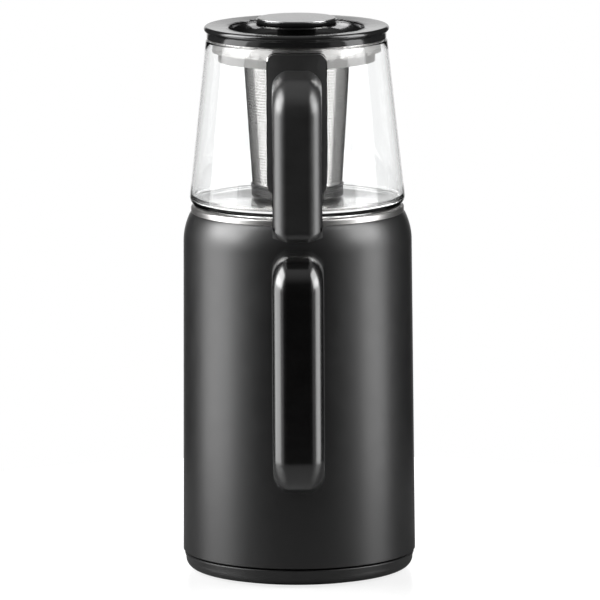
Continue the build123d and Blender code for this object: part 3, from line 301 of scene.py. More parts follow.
def bar(name, outer, inner, width, outer_round, inner_round, segments=8):
    """Moulding with a side outline between an outer and an inner line, rounded along both."""
    outline = [(-width / 2, y, z) for y, z in [*outer, *reversed(inner)]]
    piece = drawn(name, outline, closed=True)
    bpy.ops.mesh.edge_face_add()
    bpy.ops.mesh.extrude_region_move(TRANSFORM_OT_translate={"value": (width, 0, 0)})
    bpy.ops.mesh.select_all(action="SELECT")
    bpy.ops.mesh.normals_make_consistent(inside=False)
    decimals = 5  # of a metre, to which a vertex is found again
    inner_segments = 3
    fullness = 0.42  # of the rounding, a little flatter than a quarter circle
    for line, amount, count in ((outer, outer_round, segments), (inner, inner_round, inner_segments)):
        places = {(round(y, decimals), round(z, decimals)) for y, z in line}
        for side in (-1, 1):
            select_edges(
                piece,
                lambda co: co.x * side > width / 2 - WELD
                and (round(co.y, decimals), round(co.z, decimals)) in places,
            )
            bpy.ops.mesh.bevel(offset=amount, segments=count, profile=fullness, clamp_overlap=False)
    only(piece)
    return piece


def rings(name, profile, count):
    """Sheet drawn down through circles of the given radii and heights, left in edit mode."""
    only()
    radius, height = profile[0]
    bpy.ops.mesh.primitive_circle_add(vertices=count, radius=radius, location=(0, 0, height))
    piece = bpy.context.object
    piece.name = piece.data.name = name
    bpy.ops.object.transform_apply(location=True, rotation=False, scale=False)
    bpy.ops.object.mode_set(mode="EDIT")
    bpy.ops.mesh.select_mode(type="VERT")
    bpy.ops.mesh.select_all(action="SELECT")
    for (wide, upper), (narrow, lower) in zip(profile, profile[1:]):
        bpy.ops.mesh.extrude_edges_move(TRANSFORM_OT_translate={"value": (0, 0, lower - upper)})
        bpy.ops.transform.resize(value=(narrow / wide, narrow / wide, 1), center_override=(0, 0, lower))
    return piece


def pierced(piece, lowest, highest, margin):
    """Hole in every face between two heights, and the sheet's thickness."""
    bpy.ops.mesh.select_all(action="SELECT")
    bpy.ops.mesh.normals_make_consistent(inside=False)
    select_faces(piece, lambda centre: lowest < centre.z < highest)
    bpy.ops.mesh.inset(thickness=margin, use_individual=True)
    bpy.ops.mesh.delete(type="FACE")
    only(piece)
    bpy.ops.object.modifier_add(type="SOLIDIFY")
    modifier = piece.modifiers[-1]
    modifier.thickness = INFUSER_SHEET
    modifier.offset = -1
    bpy.ops.object.modifier_apply(modifier=modifier.name)


def cut(piece, cutter):
    """Take the cutter's form away from the piece, and the cutter with it."""
    only(piece)
    bpy.ops.object.modifier_add(type="BOOLEAN")
    modifier = piece.modifiers[-1]
    modifier.operation = "DIFFERENCE"
    modifier.solver = "EXACT"
    modifier.object = cutter
    bpy.ops.object.modifier_apply(modifier=modifier.name)
    bpy.data.objects.remove(cutter)


def copied(node):
    """Merged copy of a fixed piece, ready to be refined."""
    source = frame["nodes"][node]
    piece = bpy.data.objects.new("fine_" + node, source.data.copy())
    piece.data.name = piece.name
    bpy.context.scene.collection.objects.link(piece)
    only(piece)
    bpy.ops.object.mode_set(mode="EDIT")
    bpy.ops.mesh.select_all(action="SELECT")
    bpy.ops.mesh.remove_doubles(threshold=WELD)
    only(piece)
    return piece


def fitted(piece, recipe, node, angle=32, weighted=True):
    """Smooth the piece, give it its finish and let it stand for its fixed piece."""
    only(piece)
    bpy.ops.object.shade_smooth_by_angle(angle=radians(angle))
    if weighted:
        bpy.ops.object.modifier_add(type="WEIGHTED_NORMAL")
        piece.modifiers[-1].keep_sharp = True
        bpy.ops.object.modifier_apply(modifier=piece.modifiers[-1].name)
    piece.data.materials.clear()
    piece.data.materials.append(finish(recipe))
    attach(piece, frame["nodes"][node]["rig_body"])
    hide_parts(node)


def refined(node, recipe, angle=32):
    """Fit a merged copy of a fixed piece, whose form is already the real one's."""
    fitted(copied(node), recipe, node, angle=angle)


# ---------------------------------------------------------------- finishes


def added(tree, kind, inputs=None, **values):
    """New node of a tree, with its properties and the values of its inputs set."""
    made = tree.nodes.new(kind)
    for name, value in values.items():
        setattr(made, name, value)
    for name, value in (inputs or {}).items():
        made.inputs[name].default_value = value
    return made


def combined(tree, operation, first, second):
    """One output made from two by a mathematical operation."""
    made = added(tree, "ShaderNodeMath", operation=operation)
    tree.links.new(first, made.inputs[0])
    tree.links.new(second, made.inputs[1])
    return made.outputs["Value"]


class Recipe:
    """Node tree of one finish, built up step by step."""

    def __init__(self, name, colour, metallic=0.0, **sockets):
        self.material = bpy.data.materials.new(name)
        self.material.use_nodes = True
        self.tree = self.material.node_tree
        self.shader = self.tree.nodes["Principled BSDF"]
        self.shader.inputs["Base Color"].default_value = (*colour, 1)
        self.shader.inputs["Metallic"].default_value = metallic
        for socket, value in sockets.items():
            self.shader.inputs[socket.replace("_", " ")].default_value = value
        self.place = self.node("ShaderNodeTexCoord").outputs["Object"]

    def node(self, kind, inputs=None, **values):
        """New node of this finish."""
        return added(self.tree, kind, inputs, **values)

    def link(self, output, socket):
        """Join an output to a socket."""
        self.tree.links.new(output, socket)

    def stretched(self, amounts):
        """Place with each direction stretched by an amount."""
        mapping = self.node("ShaderNodeMapping", {"Scale": amounts})
        self.link(self.place, mapping.inputs["Vector"])
        return mapping.outputs["Vector"]

    def turned(self, across, along):
        """Place as distance from the upright axis and height, for marks that run round the piece."""
        split = self.node("ShaderNodeSeparateXYZ")
        self.link(self.place, split.inputs["Vector"])
        flat = self.node("ShaderNodeCombineXYZ")
        self.link(split.outputs["X"], flat.inputs["X"])
        self.link(split.outputs["Y"], flat.inputs["Y"])
        length = self.node("ShaderNodeVectorMath", operation="LENGTH")
        self.link(flat.outputs["Vector"], length.inputs[0])
        joined = self.node("ShaderNodeCombineXYZ")
        self.link(length.outputs["Value"], joined.inputs["X"])
        self.link(split.outputs["Z"], joined.inputs["Z"])
        mapping = self.node("ShaderNodeMapping", {"Scale": (across, 1, along)})
        self.link(joined.outputs["Vector"], mapping.inputs["Vector"])
        return mapping.outputs["Vector"]

    def noise(self, scale, detail=3.0, roughness=0.5, place=None):
        """Noise from 0 to 1 with so many grains to the metre."""
        made = self.node("ShaderNodeTexNoise", {"Scale": scale, "Detail": detail, "Roughness": roughness})
        self.link(place or self.place, made.inputs["Vector"])
        return made.outputs["Fac"]

    def marks(self, place, detail=5.0, roughness=0.65):
        """Brush marks at a place that was stretched to their size."""
        return self.noise(1.0, detail, roughness, place)

    def shaded(self, value, first, second):
        """Colour that runs from first to second by the value."""
        factor, first_colour, second_colour, mixed = 0, 6, 7, 2  # sockets of a mix of colours
        made = self.node("ShaderNodeMix", data_type="RGBA")
        made.inputs[first_colour].default_value = (*first, 1)
        made.inputs[second_colour].default_value = (*second, 1)
        self.link(value, made.inputs[factor])
        self.link(made.outputs[mixed], self.shader.inputs["Base Color"])

    def rough(self, value, lowest, highest):
        """Roughness that runs from lowest to highest by the value, which stays near its middle."""
        start, end = 0.3, 0.7
        made = self.node(
            "ShaderNodeMapRange",
            {"From Min": start, "From Max": end, "To Min": lowest, "To Max": highest},
        )
        self.link(value, made.inputs["Value"])
        self.link(made.outputs["Result"], self.shader.inputs["Roughness"])

    def relief(self, value, distance, strength):
        """Bumps of a height in metres."""
        made = self.node("ShaderNodeBump", {"Strength": strength, "Distance": distance})
        self.link(value, made.inputs["Height"])
        self.link(made.outputs["Normal"], self.shader.inputs["Normal"])


def tinted(colour, share):
    """The colour with each channel times a share."""
    return tuple(channel * share for channel in colour)


def black_paint(colours):
    """Stoved satin paint with a fine orange peel."""
    recipe = Recipe("satin_black_paint", colours.paint, Specular_IOR_Level=1.0)
    recipe.shaded(recipe.noise(scale=40.0), tinted(colours.paint, 0.85), tinted(colours.paint, 1.2))
    recipe.rough(recipe.noise(scale=90.0, detail=4.0), lowest=0.35, highest=0.39)
    recipe.relief(recipe.noise(scale=1400.0, detail=2.0), distance=0.00001, strength=0.35)
    return recipe.material


def black_plastic(colours):
    """Moulded plastic with a fine spark-eroded grain."""
    recipe = Recipe("moulded_black_plastic", colours.plastic, Specular_IOR_Level=0.6)
    recipe.shaded(recipe.noise(scale=40.0), tinted(colours.plastic, 0.9), tinted(colours.plastic, 1.15))
    recipe.rough(recipe.noise(scale=90.0, detail=4.0), lowest=0.32, highest=0.38)
    recipe.relief(recipe.noise(scale=1400.0, detail=2.0), distance=0.00001, strength=0.35)
    return recipe.material


def smooth_black(name, colour, coat, dull):
    """Smooth black moulding, dulled a little by the hand."""
    recipe = Recipe(name, colour, Specular_IOR_Level=1.0, Coat_Weight=coat, Coat_Roughness=dull)
    recipe.shaded(recipe.noise(scale=50.0), tinted(colour, 0.9), tinted(colour, 1.2))
    smears = recipe.noise(scale=70.0, detail=5.0, roughness=0.6, place=recipe.stretched((1.0, 1.0, 3.0)))
    recipe.rough(smears, lowest=dull, highest=1.3 * dull)
    recipe.relief(recipe.noise(scale=900.0, detail=2.0), distance=0.00001, strength=0.2)
    return recipe.material


def black_satin(colours):
    """Charcoal moulding of the teapot's handle."""
    return smooth_black("satin_black_plastic", colours.grip, coat=0.4, dull=0.30)


def black_deep(colours):
    """Deep black moulding of the kettle's handle."""
    return smooth_black("deep_black_plastic", colours.handle, coat=0.75, dull=0.20)


def black_gloss(colours):
    """Polished black moulding with faint wipe marks."""
    recipe = Recipe("gloss_black_plastic", colours.gloss, Specular_IOR_Level=0.8)
    recipe.shaded(recipe.noise(scale=50.0), tinted(colours.gloss, 0.9), tinted(colours.gloss, 1.2))
    smears = recipe.noise(scale=70.0, detail=5.0, roughness=0.6, place=recipe.stretched((1.0, 3.0, 1.0)))
    recipe.rough(smears, lowest=0.10, highest=0.17)
    recipe.relief(recipe.noise(scale=600.0, detail=2.0), distance=0.00001, strength=0.2)
    return recipe.material


def polished_steel(colours):
    """Buffed steel with hair-fine marks round the piece."""
    recipe = Recipe("polished_steel", colours.steel, metallic=1.0)
    recipe.shaded(recipe.noise(scale=30.0), tinted(colours.steel, 0.96), tinted(colours.steel, 1.04))
    marks = recipe.marks(recipe.turned(across=2500.0, along=2500.0), detail=4.0, roughness=0.6)
    recipe.rough(marks, lowest=0.12, highest=0.22)
    recipe.relief(marks, distance=0.000004, strength=0.3)
    return recipe.material


def brushed_steel(colours):
    """Steel brushed along its length."""
    recipe = Recipe("brushed_steel", colours.steel, metallic=1.0)
    marks = recipe.marks(recipe.stretched((120.0, 120.0, 3000.0)))
    recipe.shaded(marks, tinted(colours.steel, 0.9), tinted(colours.steel, 1.06))
    recipe.rough(marks, lowest=0.22, highest=0.36)
    recipe.relief(marks, distance=0.000006, strength=0.4)
    return recipe.material


def turned_steel(colours):
    """Steel brushed round the upright axis."""
    recipe = Recipe("turned_steel", colours.steel, metallic=1.0)
    # The grey specular tint darkens the grazing reflections at the ends of the flange, pot and rim:
    # painted shade.
    recipe.shader.inputs["Specular Tint"].default_value = (0.35, 0.35, 0.35, 1)
    marks = recipe.marks(recipe.turned(across=2200.0, along=2200.0))
    recipe.shaded(marks, tinted(colours.steel, 1.08), tinted(colours.steel, 1.25))
    recipe.rough(marks, lowest=0.26, highest=0.36)
    recipe.relief(marks, distance=0.000006, strength=0.4)
    return recipe.material


def shade_darkened_perforated_steel(colours):
    """Thin etched steel sheet, its colour darkened and its grazing reflections greyed as painted shade of
    the hole walls and the dark inside seen through the holes.
    """
    recipe = Recipe("shade_darkened_perforated_steel", colours.steel, metallic=1.0)
    # The low specular tint greys the grazing reflections at the cone's sides: painted shade.
    recipe.shader.inputs["Specular Tint"].default_value = (0.1, 0.1, 0.1, 1)
    marks = recipe.noise(scale=900.0, detail=3.0)
    # Colour darkened to about half the steel's: painted shade of the holes' walls and the dark inside.
    recipe.shaded(marks, tinted(colours.steel, 0.45), tinted(colours.steel, 0.58))
    recipe.rough(marks, lowest=0.14, highest=0.22)
    recipe.relief(marks, distance=0.000004, strength=0.3)
    return recipe.material


def shade_darkened_net_steel(colours):
    """Fine net steel sheet, coloured almost black as painted shade of the cup's dark inside seen through
    the net.
    """
    recipe = Recipe("shade_darkened_net_steel", colours.steel, metallic=1.0)
    marks = recipe.noise(scale=1100.0, detail=4.0, roughness=0.7)
    # Steel tinted down to 2 to 12 percent: painted shade, not the metal's own colour.
    recipe.shaded(marks, tinted(colours.steel, 0.02), tinted(colours.steel, 0.12))
    recipe.rough(marks, lowest=0.30, highest=0.50)
    recipe.relief(marks, distance=0.00004, strength=0.6)
    return recipe.material


def knob_metal(colours):
    """Fine circular brushing on the knob's disc."""
    recipe = Recipe("knob_metal", colours.disc, metallic=1.0)
    marks = recipe.marks(recipe.turned(across=4200.0, along=1500.0), roughness=0.6)
    recipe.shaded(marks, tinted(colours.disc, 0.92), tinted(colours.disc, 1.05))
    recipe.rough(marks, lowest=0.24, highest=0.36)
    recipe.relief(marks, distance=0.000004, strength=0.35)
    return recipe.material


def clear_glass(colours):
    """Blown glass with a very slight waviness."""
    recipe = Recipe("clear_glass", (0.985, 0.99, 0.99), Transmission_Weight=1.0, IOR=1.47)
    recipe.rough(recipe.noise(scale=25.0, detail=2.0), lowest=0.0, highest=0.012)
    recipe.relief(recipe.noise(scale=30.0, detail=1.0), distance=0.00002, strength=0.25)
    return recipe.material


def rubber(colours):
    """Matt black rubber."""
    recipe = Recipe("black_rubber", (0.012, 0.012, 0.012))
    recipe.shaded(recipe.noise(scale=80.0), (0.010, 0.010, 0.010), (0.018, 0.018, 0.018))
    recipe.rough(recipe.noise(scale=300.0, detail=4.0), lowest=0.7, highest=0.85)
    recipe.relief(recipe.noise(scale=1800.0, detail=3.0), distance=0.00002, strength=0.4)
    return recipe.material


def silicone(colours):
    """Grey translucent silicone."""
    recipe = Recipe("grey_silicone", (0.35, 0.35, 0.35), Subsurface_Weight=0.2, Subsurface_Scale=0.002)
    recipe.shaded(recipe.noise(scale=60.0), (0.30, 0.30, 0.30), (0.38, 0.38, 0.38))
    recipe.rough(recipe.noise(scale=200.0, detail=3.0), lowest=0.42, highest=0.55)
    recipe.relief(recipe.noise(scale=1500.0, detail=2.0), distance=0.00001, strength=0.3)
    return recipe.material


def cast_aluminium(colours):
    """Pressure-cast aluminium with a mottled skin."""
    recipe = Recipe("cast_aluminium", (0.56, 0.56, 0.57), metallic=1.0)
    recipe.shaded(recipe.noise(scale=120.0, detail=5.0), (0.44, 0.44, 0.45), (0.60, 0.60, 0.61))
    recipe.rough(recipe.noise(scale=260.0, detail=5.0), lowest=0.42, highest=0.60)
    recipe.relief(recipe.noise(scale=900.0, detail=5.0), distance=0.00006, strength=0.5)
    return recipe.material


def board(colours):
    """Green lacquered circuit board."""
    recipe = Recipe("circuit_board", (0.02, 0.10, 0.04), Coat_Weight=0.4, Coat_Roughness=0.2)
    recipe.shaded(recipe.noise(scale=240.0, detail=2.0), (0.015, 0.08, 0.03), (0.03, 0.14, 0.06))
    recipe.rough(recipe.noise(scale=300.0, detail=3.0), lowest=0.35, highest=0.5)
    recipe.relief(recipe.noise(scale=700.0, detail=2.0), distance=0.00003, strength=0.4)
    return recipe.material


def lens(colours):
    """Clear amber lens over an indicator."""
    recipe = Recipe("amber_lens", (0.85, 0.42, 0.12), Transmission_Weight=0.6, IOR=1.49)
    recipe.shaded(recipe.noise(scale=400.0, detail=2.0), (0.80, 0.36, 0.10), (0.90, 0.48, 0.16))
    recipe.rough(recipe.noise(scale=500.0, detail=2.0), lowest=0.12, highest=0.2)
    recipe.relief(recipe.noise(scale=1200.0, detail=1.0), distance=0.00001, strength=0.3)
    return recipe.material


def screw_steel(colours):
    """Zinc-plated steel."""
    recipe = Recipe("screw_steel", (0.50, 0.50, 0.50), metallic=1.0)
    recipe.shaded(recipe.noise(scale=500.0, detail=3.0), (0.42, 0.42, 0.42), (0.56, 0.56, 0.55))
    recipe.rough(recipe.noise(scale=700.0, detail=3.0), lowest=0.28, highest=0.42)
    recipe.relief(recipe.noise(scale=1500.0, detail=3.0), distance=0.00001, strength=0.4)
    return recipe.material


made_finishes = {}


def finish(recipe):
    """The finish of that recipe, made once."""
    if recipe not in made_finishes:
        made_finishes[recipe] = recipe(bpy.context.scene.tea_maker_colours)
    return made_finishes[recipe]


# ---------------------------------------------------------------- forms that several pieces share


def kettle_section(growth):
    """Half section of the kettle's outer form, from its foot to its top edge."""
    sizes = bpy.context.scene.tea_maker_sizes
    bottom, top = low("kettle_shell").z, high("kettle_shell").z
    foot = high("kettle_shell").x
    start = top - sizes.shoulder_height
    neck = foot - sizes.shell_taper
    centre = neck - sizes.shoulder_radius
    turn = asin(sizes.shoulder_height / sizes.shoulder_radius)
    arc_steps = 12
    line = [(foot + growth, bottom), (neck + growth, start)]
    for step in range(1, arc_steps + 1):
        angle = turn * step / arc_steps
        line.append(
            (
                centre + sizes.shoulder_radius * cos(angle) + growth,
                start + sizes.shoulder_radius * sin(angle),
            )
        )
    return line


def kettle_cutter(growth):
    """Solid with the kettle's outer form, to cut other pieces by."""
    line = kettle_section(growth)
    return spun("cutter", [(0, line[0][1]), *line, (0, line[-1][1])], closed=False)


def glass_wall_radius(height):
    """Outer radius of the teapot's wall at a height."""
    sizes = bpy.context.scene.tea_maker_sizes
    bottom, top = low("teapot_glass").z, high("teapot_glass").z
    heel = high("teapot_glass").x
    heel_top = bottom + GLASS_HEEL_HEIGHT
    return heel - sizes.glass_taper * (height - heel_top) / (top - heel_top)


# ---------------------------------------------------------------- operators


class TEAMAKER_OT_power_base(bpy.types.Operator):
    """Finish the power base: cover, floor, foot ring, connector, board and gland"""

    bl_idname = "tea_maker.power_base"
    bl_label = "Power Base"

    def execute(self, context):
        refined("base_cover", black_plastic, angle=12)
        refined("base_floor", black_plastic)
        refined("base_plug", black_plastic)
        refined("foot_ring", rubber)
        refined("cord_gland", rubber)
        refined("control_board", board)
        return {"FINISHED"}


class TEAMAKER_OT_controls(bpy.types.Operator):
    """Finish the two push buttons, their switches and the indicator lenses"""

    bl_idname = "tea_maker.controls"
    bl_label = "Buttons and Lenses"

    def execute(self, context):
        refined("boil_button", black_gloss)
        refined("brew_button", black_gloss)
        refined("indicator_lenses", lens)
        refined("key_switches", black_plastic)
        return {"FINISHED"}


class TEAMAKER_OT_kettle_shell(bpy.types.Operator):
    """Turn the kettle's painted shell and finish its inner pot"""

    bl_idname = "tea_maker.kettle_shell"
    bl_label = "Kettle Shell"

    def execute(self, context):
        sizes = context.scene.tea_maker_sizes
        outer = kettle_section(0)
        inner = kettle_section(-sizes.shell_wall)
        foot_radius, foot_height = outer[0]
        lip_radius, lip_height = outer[-1]
        section = [
            (foot_radius - CRISP_EDGE, foot_height),
            (foot_radius, foot_height + CRISP_EDGE),
            *outer[1:-1],
            (lip_radius, lip_height - CRISP_EDGE),
            (lip_radius - CRISP_EDGE, lip_height),
            *reversed(inner),
        ]
        fitted(spun("fine_kettle_shell", section), black_paint, "kettle_shell", weighted=False)
        refined("kettle_pot", turned_steel)
        return {"FINISHED"}


class TEAMAKER_OT_kettle_rim(bpy.types.Operator):
    """Turn the polished rim on top of the kettle"""

    bl_idname = "tea_maker.kettle_rim"
    bl_label = "Kettle Rim"

    def execute(self, context):
        sizes = context.scene.tea_maker_sizes
        bottom, top = low("kettle_rim").z, high("kettle_rim").z
        radius = high("kettle_rim").x
        wall, sheet, seat, foot_round = 0.0016, 0.0012, 0.00975, 0.0003
        line = rounded(
            [
                (radius - wall, bottom),
                (radius, bottom),
                (radius, top),
                (radius - seat, top),
                (radius - seat, top - sheet),
                (radius - wall, top - sheet),
                (radius - wall, bottom + sheet),
            ],
            {1: foot_round, 2: sizes.rim_round, 3: CRISP_EDGE, 4: CRISP_EDGE},
            steps=5,
        )
        fitted(spun("fine_kettle_rim", line), turned_steel, "kettle_rim", weighted=False)
        return {"FINISHED"}


class TEAMAKER_OT_kettle_fittings(bpy.types.Operator):
    """Finish the kettle's spout, bottom cover, connector, heater and handle fixings"""

    bl_idname = "tea_maker.kettle_fittings"
    bl_label = "Kettle Fittings"

    def execute(self, context):
        refined("kettle_spout", black_paint)
        refined("kettle_bottom_cover", black_plastic)
        refined("kettle_socket", black_plastic)
        refined("heater_plate", cast_aluminium)
        refined("heating_element", brushed_steel)
        refined("thermostat", black_plastic)
        refined("kettle_handle_brackets", brushed_steel)
        return {"FINISHED"}


class TEAMAKER_OT_kettle_handle(bpy.types.Operator):
    """Model the outer moulding of the kettle's handle and finish its cover"""

    bl_idname = "tea_maker.kettle_handle"
    bl_label = "Kettle Handle"

    def execute(self, context):
        sizes = context.scene.tea_maker_sizes
        bottom, top = low("kettle_handle"), high("kettle_handle")
        depth, corner, corner_steps = 0.011, 0.025, 14
        root = -0.055  # inside the shell, where the arms are cut off
        shell_gap = 0.00005  # between the arms and the shell
        reach = bottom.y
        outer = rounded(
            [(root, top.z), (reach, top.z), (reach, bottom.z), (root, bottom.z)],
            {1: corner, 2: corner},
            corner_steps,
        )
        inner = rounded(
            [
                (root, top.z - depth),
                (reach + depth, top.z - depth),
                (reach + depth, bottom.z + depth),
                (root, bottom.z + depth),
            ],
            {1: corner - depth, 2: corner - depth},
            corner_steps,
        )
        width = 2 * top.x
        piece = bar(
            "fine_kettle_handle", outer, inner, width, sizes.kettle_handle_round, CRISP_EDGE, segments=9
        )
        cut(piece, kettle_cutter(shell_gap))
        fitted(piece, black_deep, "kettle_handle", angle=30)
        refined("kettle_handle_cover", black_deep)
        return {"FINISHED"}


class TEAMAKER_OT_kettle_lid(bpy.types.Operator):
    """Finish the kettle's inner lid and its seal"""

    bl_idname = "tea_maker.kettle_lid"
    bl_label = "Kettle Lid"

    def execute(self, context):
        refined("kettle_lid", polished_steel)
        refined("kettle_lid_seal", silicone)
        return {"FINISHED"}


class TEAMAKER_OT_teapot_glass(bpy.types.Operator):
    """Turn the teapot's glass and pull out its pouring lip"""

    bl_idname = "tea_maker.teapot_glass"
    bl_label = "Teapot Glass"

    def execute(self, context):
        sizes = context.scene.tea_maker_sizes
        bottom, top = low("teapot_glass").z, high("teapot_glass").z
        heel = high("teapot_glass").x
        wall = sizes.glass_wall
        foot_inset, foot_width, recess, floor = 0.0028, 0.006, 0.0024, 0.0028
        recess_round, foot_inner_round, foot_outer_round = 0.001, 0.0006, 0.0022
        heel_round, mouth_round, floor_round = 0.006, 0.0010, 0.003
        floor_top = bottom + recess + floor
        mouth = glass_wall_radius(top)
        outside = rounded(
            [
                (0, bottom + recess),
                (heel - foot_inset - foot_width, bottom + recess),
                (heel - foot_inset - foot_width + recess / 2, bottom),
                (heel - foot_inset, bottom),
                (heel, bottom + GLASS_HEEL_HEIGHT),
                (mouth, top),
                (mouth - wall, top),
                (glass_wall_radius(floor_top) - wall, floor_top),
                (0, floor_top),
            ],
            {
                1: recess_round,
                2: foot_inner_round,
                3: foot_outer_round,
                4: heel_round,
                5: mouth_round,
                6: mouth_round,
                7: floor_round,
            },
            steps=7,
        )
        tall, levels = 0.05, 16  # a stretch taller than this is divided into so many levels
        section = []
        for here, there in zip(outside, outside[1:]):
            section.append(here)
            if abs(there[1] - here[1]) > tall:
                section.extend(here.lerp(there, step / levels) for step in range(1, levels))
        section.append(outside[-1])
        piece = spun("fine_teapot_glass", section, closed=False)
        self.pull_lip(piece, mouth, top)
        fitted(piece, clear_glass, "teapot_glass", angle=40, weighted=False)
        return {"FINISHED"}

    def pull_lip(self, piece, mouth, top):
        """Pull the mouth's edge out to the lip's reach, and the glass round it along."""
        lip_depth, lip_height, lip_spread = 0.004, 0.002, 0.024
        reach = high("teapot_glass").y - mouth
        only(piece)
        select_vertices(piece, lambda co: co.y > mouth - lip_depth and co.z > top - lip_height)
        bpy.ops.transform.translate(
            value=(0, reach, 0),
            use_proportional_edit=True,
            proportional_edit_falloff="SMOOTH",
            proportional_size=lip_spread,
        )


class TEAMAKER_OT_teapot_handle(bpy.types.Operator):
    """Model the teapot's grip and finish its cover, plate and bracket"""

    bl_idname = "tea_maker.teapot_handle"
    bl_label = "Teapot Handle"

    def execute(self, context):
        sizes = context.scene.tea_maker_sizes
        bottom, top = low("teapot_grip"), high("teapot_grip")
        depth, corner, corner_steps, fall, end_round = 0.010, 0.024, 12, 0.004, 0.008
        root = -0.030  # inside the glass, where the arm is cut off
        end_edge = 0.0005  # of the free end's inner corner
        finger_end = 0.003  # from the free end to where the inner side stops
        plate_outside = 0.0040  # from the glass to the face of the handle's plate
        reach = bottom.y
        outer = rounded(
            [
                (root, top.z),
                (reach, top.z - fall),
                (reach, bottom.z),
                (reach + depth - end_edge, bottom.z),
                (reach + depth, bottom.z + end_edge),
            ],
            {1: corner, 2: end_round},
            corner_steps,
        )
        inner = rounded(
            [
                (root, top.z - depth),
                (reach + depth, top.z - fall - depth),
                (reach + depth, bottom.z + finger_end),
            ],
            {1: corner - depth},
            corner_steps,
        )
        piece = bar("fine_teapot_grip", outer, inner, 2 * top.x, sizes.grip_round, CRISP_EDGE)
        cutter = spun(
            "cutter",
            [
                (0, bottom.z),
                (glass_wall_radius(bottom.z) + plate_outside, bottom.z),
                (glass_wall_radius(top.z + corner) + plate_outside, top.z + corner),
                (0, top.z + corner),
            ],
            closed=False,
        )
        cut(piece, cutter)
        fitted(piece, black_satin, "teapot_grip", angle=30)
        refined("teapot_grip_cover", black_satin)
        refined("teapot_handle_plate", black_satin, angle=10)
        refined("teapot_bracket", polished_steel)
        return {"FINISHED"}


class TEAMAKER_OT_infuser(bpy.types.Operator):
    """Finish the stepped flange, and model the perforated cone and the netted cup below it"""

    bl_idname = "tea_maker.infuser"
    bl_label = "Infuser"

    def execute(self, context):
        refined("infuser_flange", turned_steel)
        self.cone(context.scene.tea_maker_sizes)
        self.cup()
        return {"FINISHED"}

    def cone(self, sizes):
        """Tapered sheet with rows of holes between two plain bands."""
        bottom, top = low("infuser_cone"), high("infuser_cone")
        neck, taper = low("infuser_flange").z, 0.0055
        lower_band, upper_band = 1.6 * sizes.hole_pitch, 0.5 * sizes.hole_pitch
        rows = int((neck - bottom.z) / sizes.hole_pitch)
        profile = [(top.x, top.z)]
        for row in range(rows + 1):
            profile.append((top.x - taper * row / rows, neck + (bottom.z - neck) * row / rows))
        piece = rings("fine_infuser_cone", profile, int(2 * pi * top.x / sizes.hole_spacing))
        pierced(piece, bottom.z + lower_band, neck - upper_band, sizes.hole_margin)
        fitted(piece, shade_darkened_perforated_steel, "infuser_cone", angle=60, weighted=False)

    def cup(self):
        """Pressed cup with a bead round its mouth, a net in its wall and a plain floor."""
        bottom, top = low("infuser_bottom").z, high("infuser_bottom").z
        radius = high("infuser_bottom").x
        bead, corner, corner_steps = 0.0003, 0.002, 4
        net_pitch, net_margin = 0.0013, 0.00036
        floor_shares = (0.85, 0.6, 0.35, 0.1)  # of the radius, at the rings of the floor
        wall_low, wall_top = bottom + corner, top - 5 * bead
        profile = [
            (radius - bead, top),
            (radius + bead, top - bead),
            (radius + bead, top - 4 * bead),
            (radius, wall_top),
        ]
        rows = int((wall_top - wall_low) / net_pitch)
        for row in range(1, rows + 1):
            profile.append((radius, wall_top + (wall_low - wall_top) * row / rows))
        for step in range(1, corner_steps + 1):
            turn = pi / 2 * step / corner_steps
            profile.append((radius - corner * (1 - cos(turn)), wall_low - corner * sin(turn)))
        for share in floor_shares:
            profile.append((radius * share, bottom))
        piece = rings("fine_infuser_bottom", profile, int(2 * pi * radius / net_pitch))
        bpy.ops.mesh.edge_face_add()
        pierced(piece, wall_low, wall_top, net_margin)
        fitted(piece, shade_darkened_net_steel, "infuser_bottom", angle=50, weighted=False)


class TEAMAKER_OT_lid(bpy.types.Operator):
    """Finish the dished lid, its liner and its gasket"""

    bl_idname = "tea_maker.lid"
    bl_label = "Lid"

    def execute(self, context):
        refined("lid_top", black_gloss)
        refined("lid_liner", black_plastic)
        refined("lid_gasket", silicone)
        return {"FINISHED"}


class TEAMAKER_OT_knob(bpy.types.Operator):
    """Finish the lid's knob, its bright ring and its metal disc"""

    bl_idname = "tea_maker.knob"
    bl_label = "Lid Knob"

    def execute(self, context):
        refined("lid_knob", black_gloss)
        refined("knob_disc", knob_metal)
        refined("knob_ring", polished_steel)
        return {"FINISHED"}


class TEAMAKER_OT_screws(bpy.types.Operator):
    """Finish all screws"""

    bl_idname = "tea_maker.screws"
    bl_label = "Screws"

    def execute(self, context):
        refined("base_screws", screw_steel)
        refined("kettle_screws", screw_steel)
        refined("kettle_handle_screws", screw_steel)
        refined("teapot_grip_screws", screw_steel)
        refined("knob_screw", screw_steel)
        return {"FINISHED"}


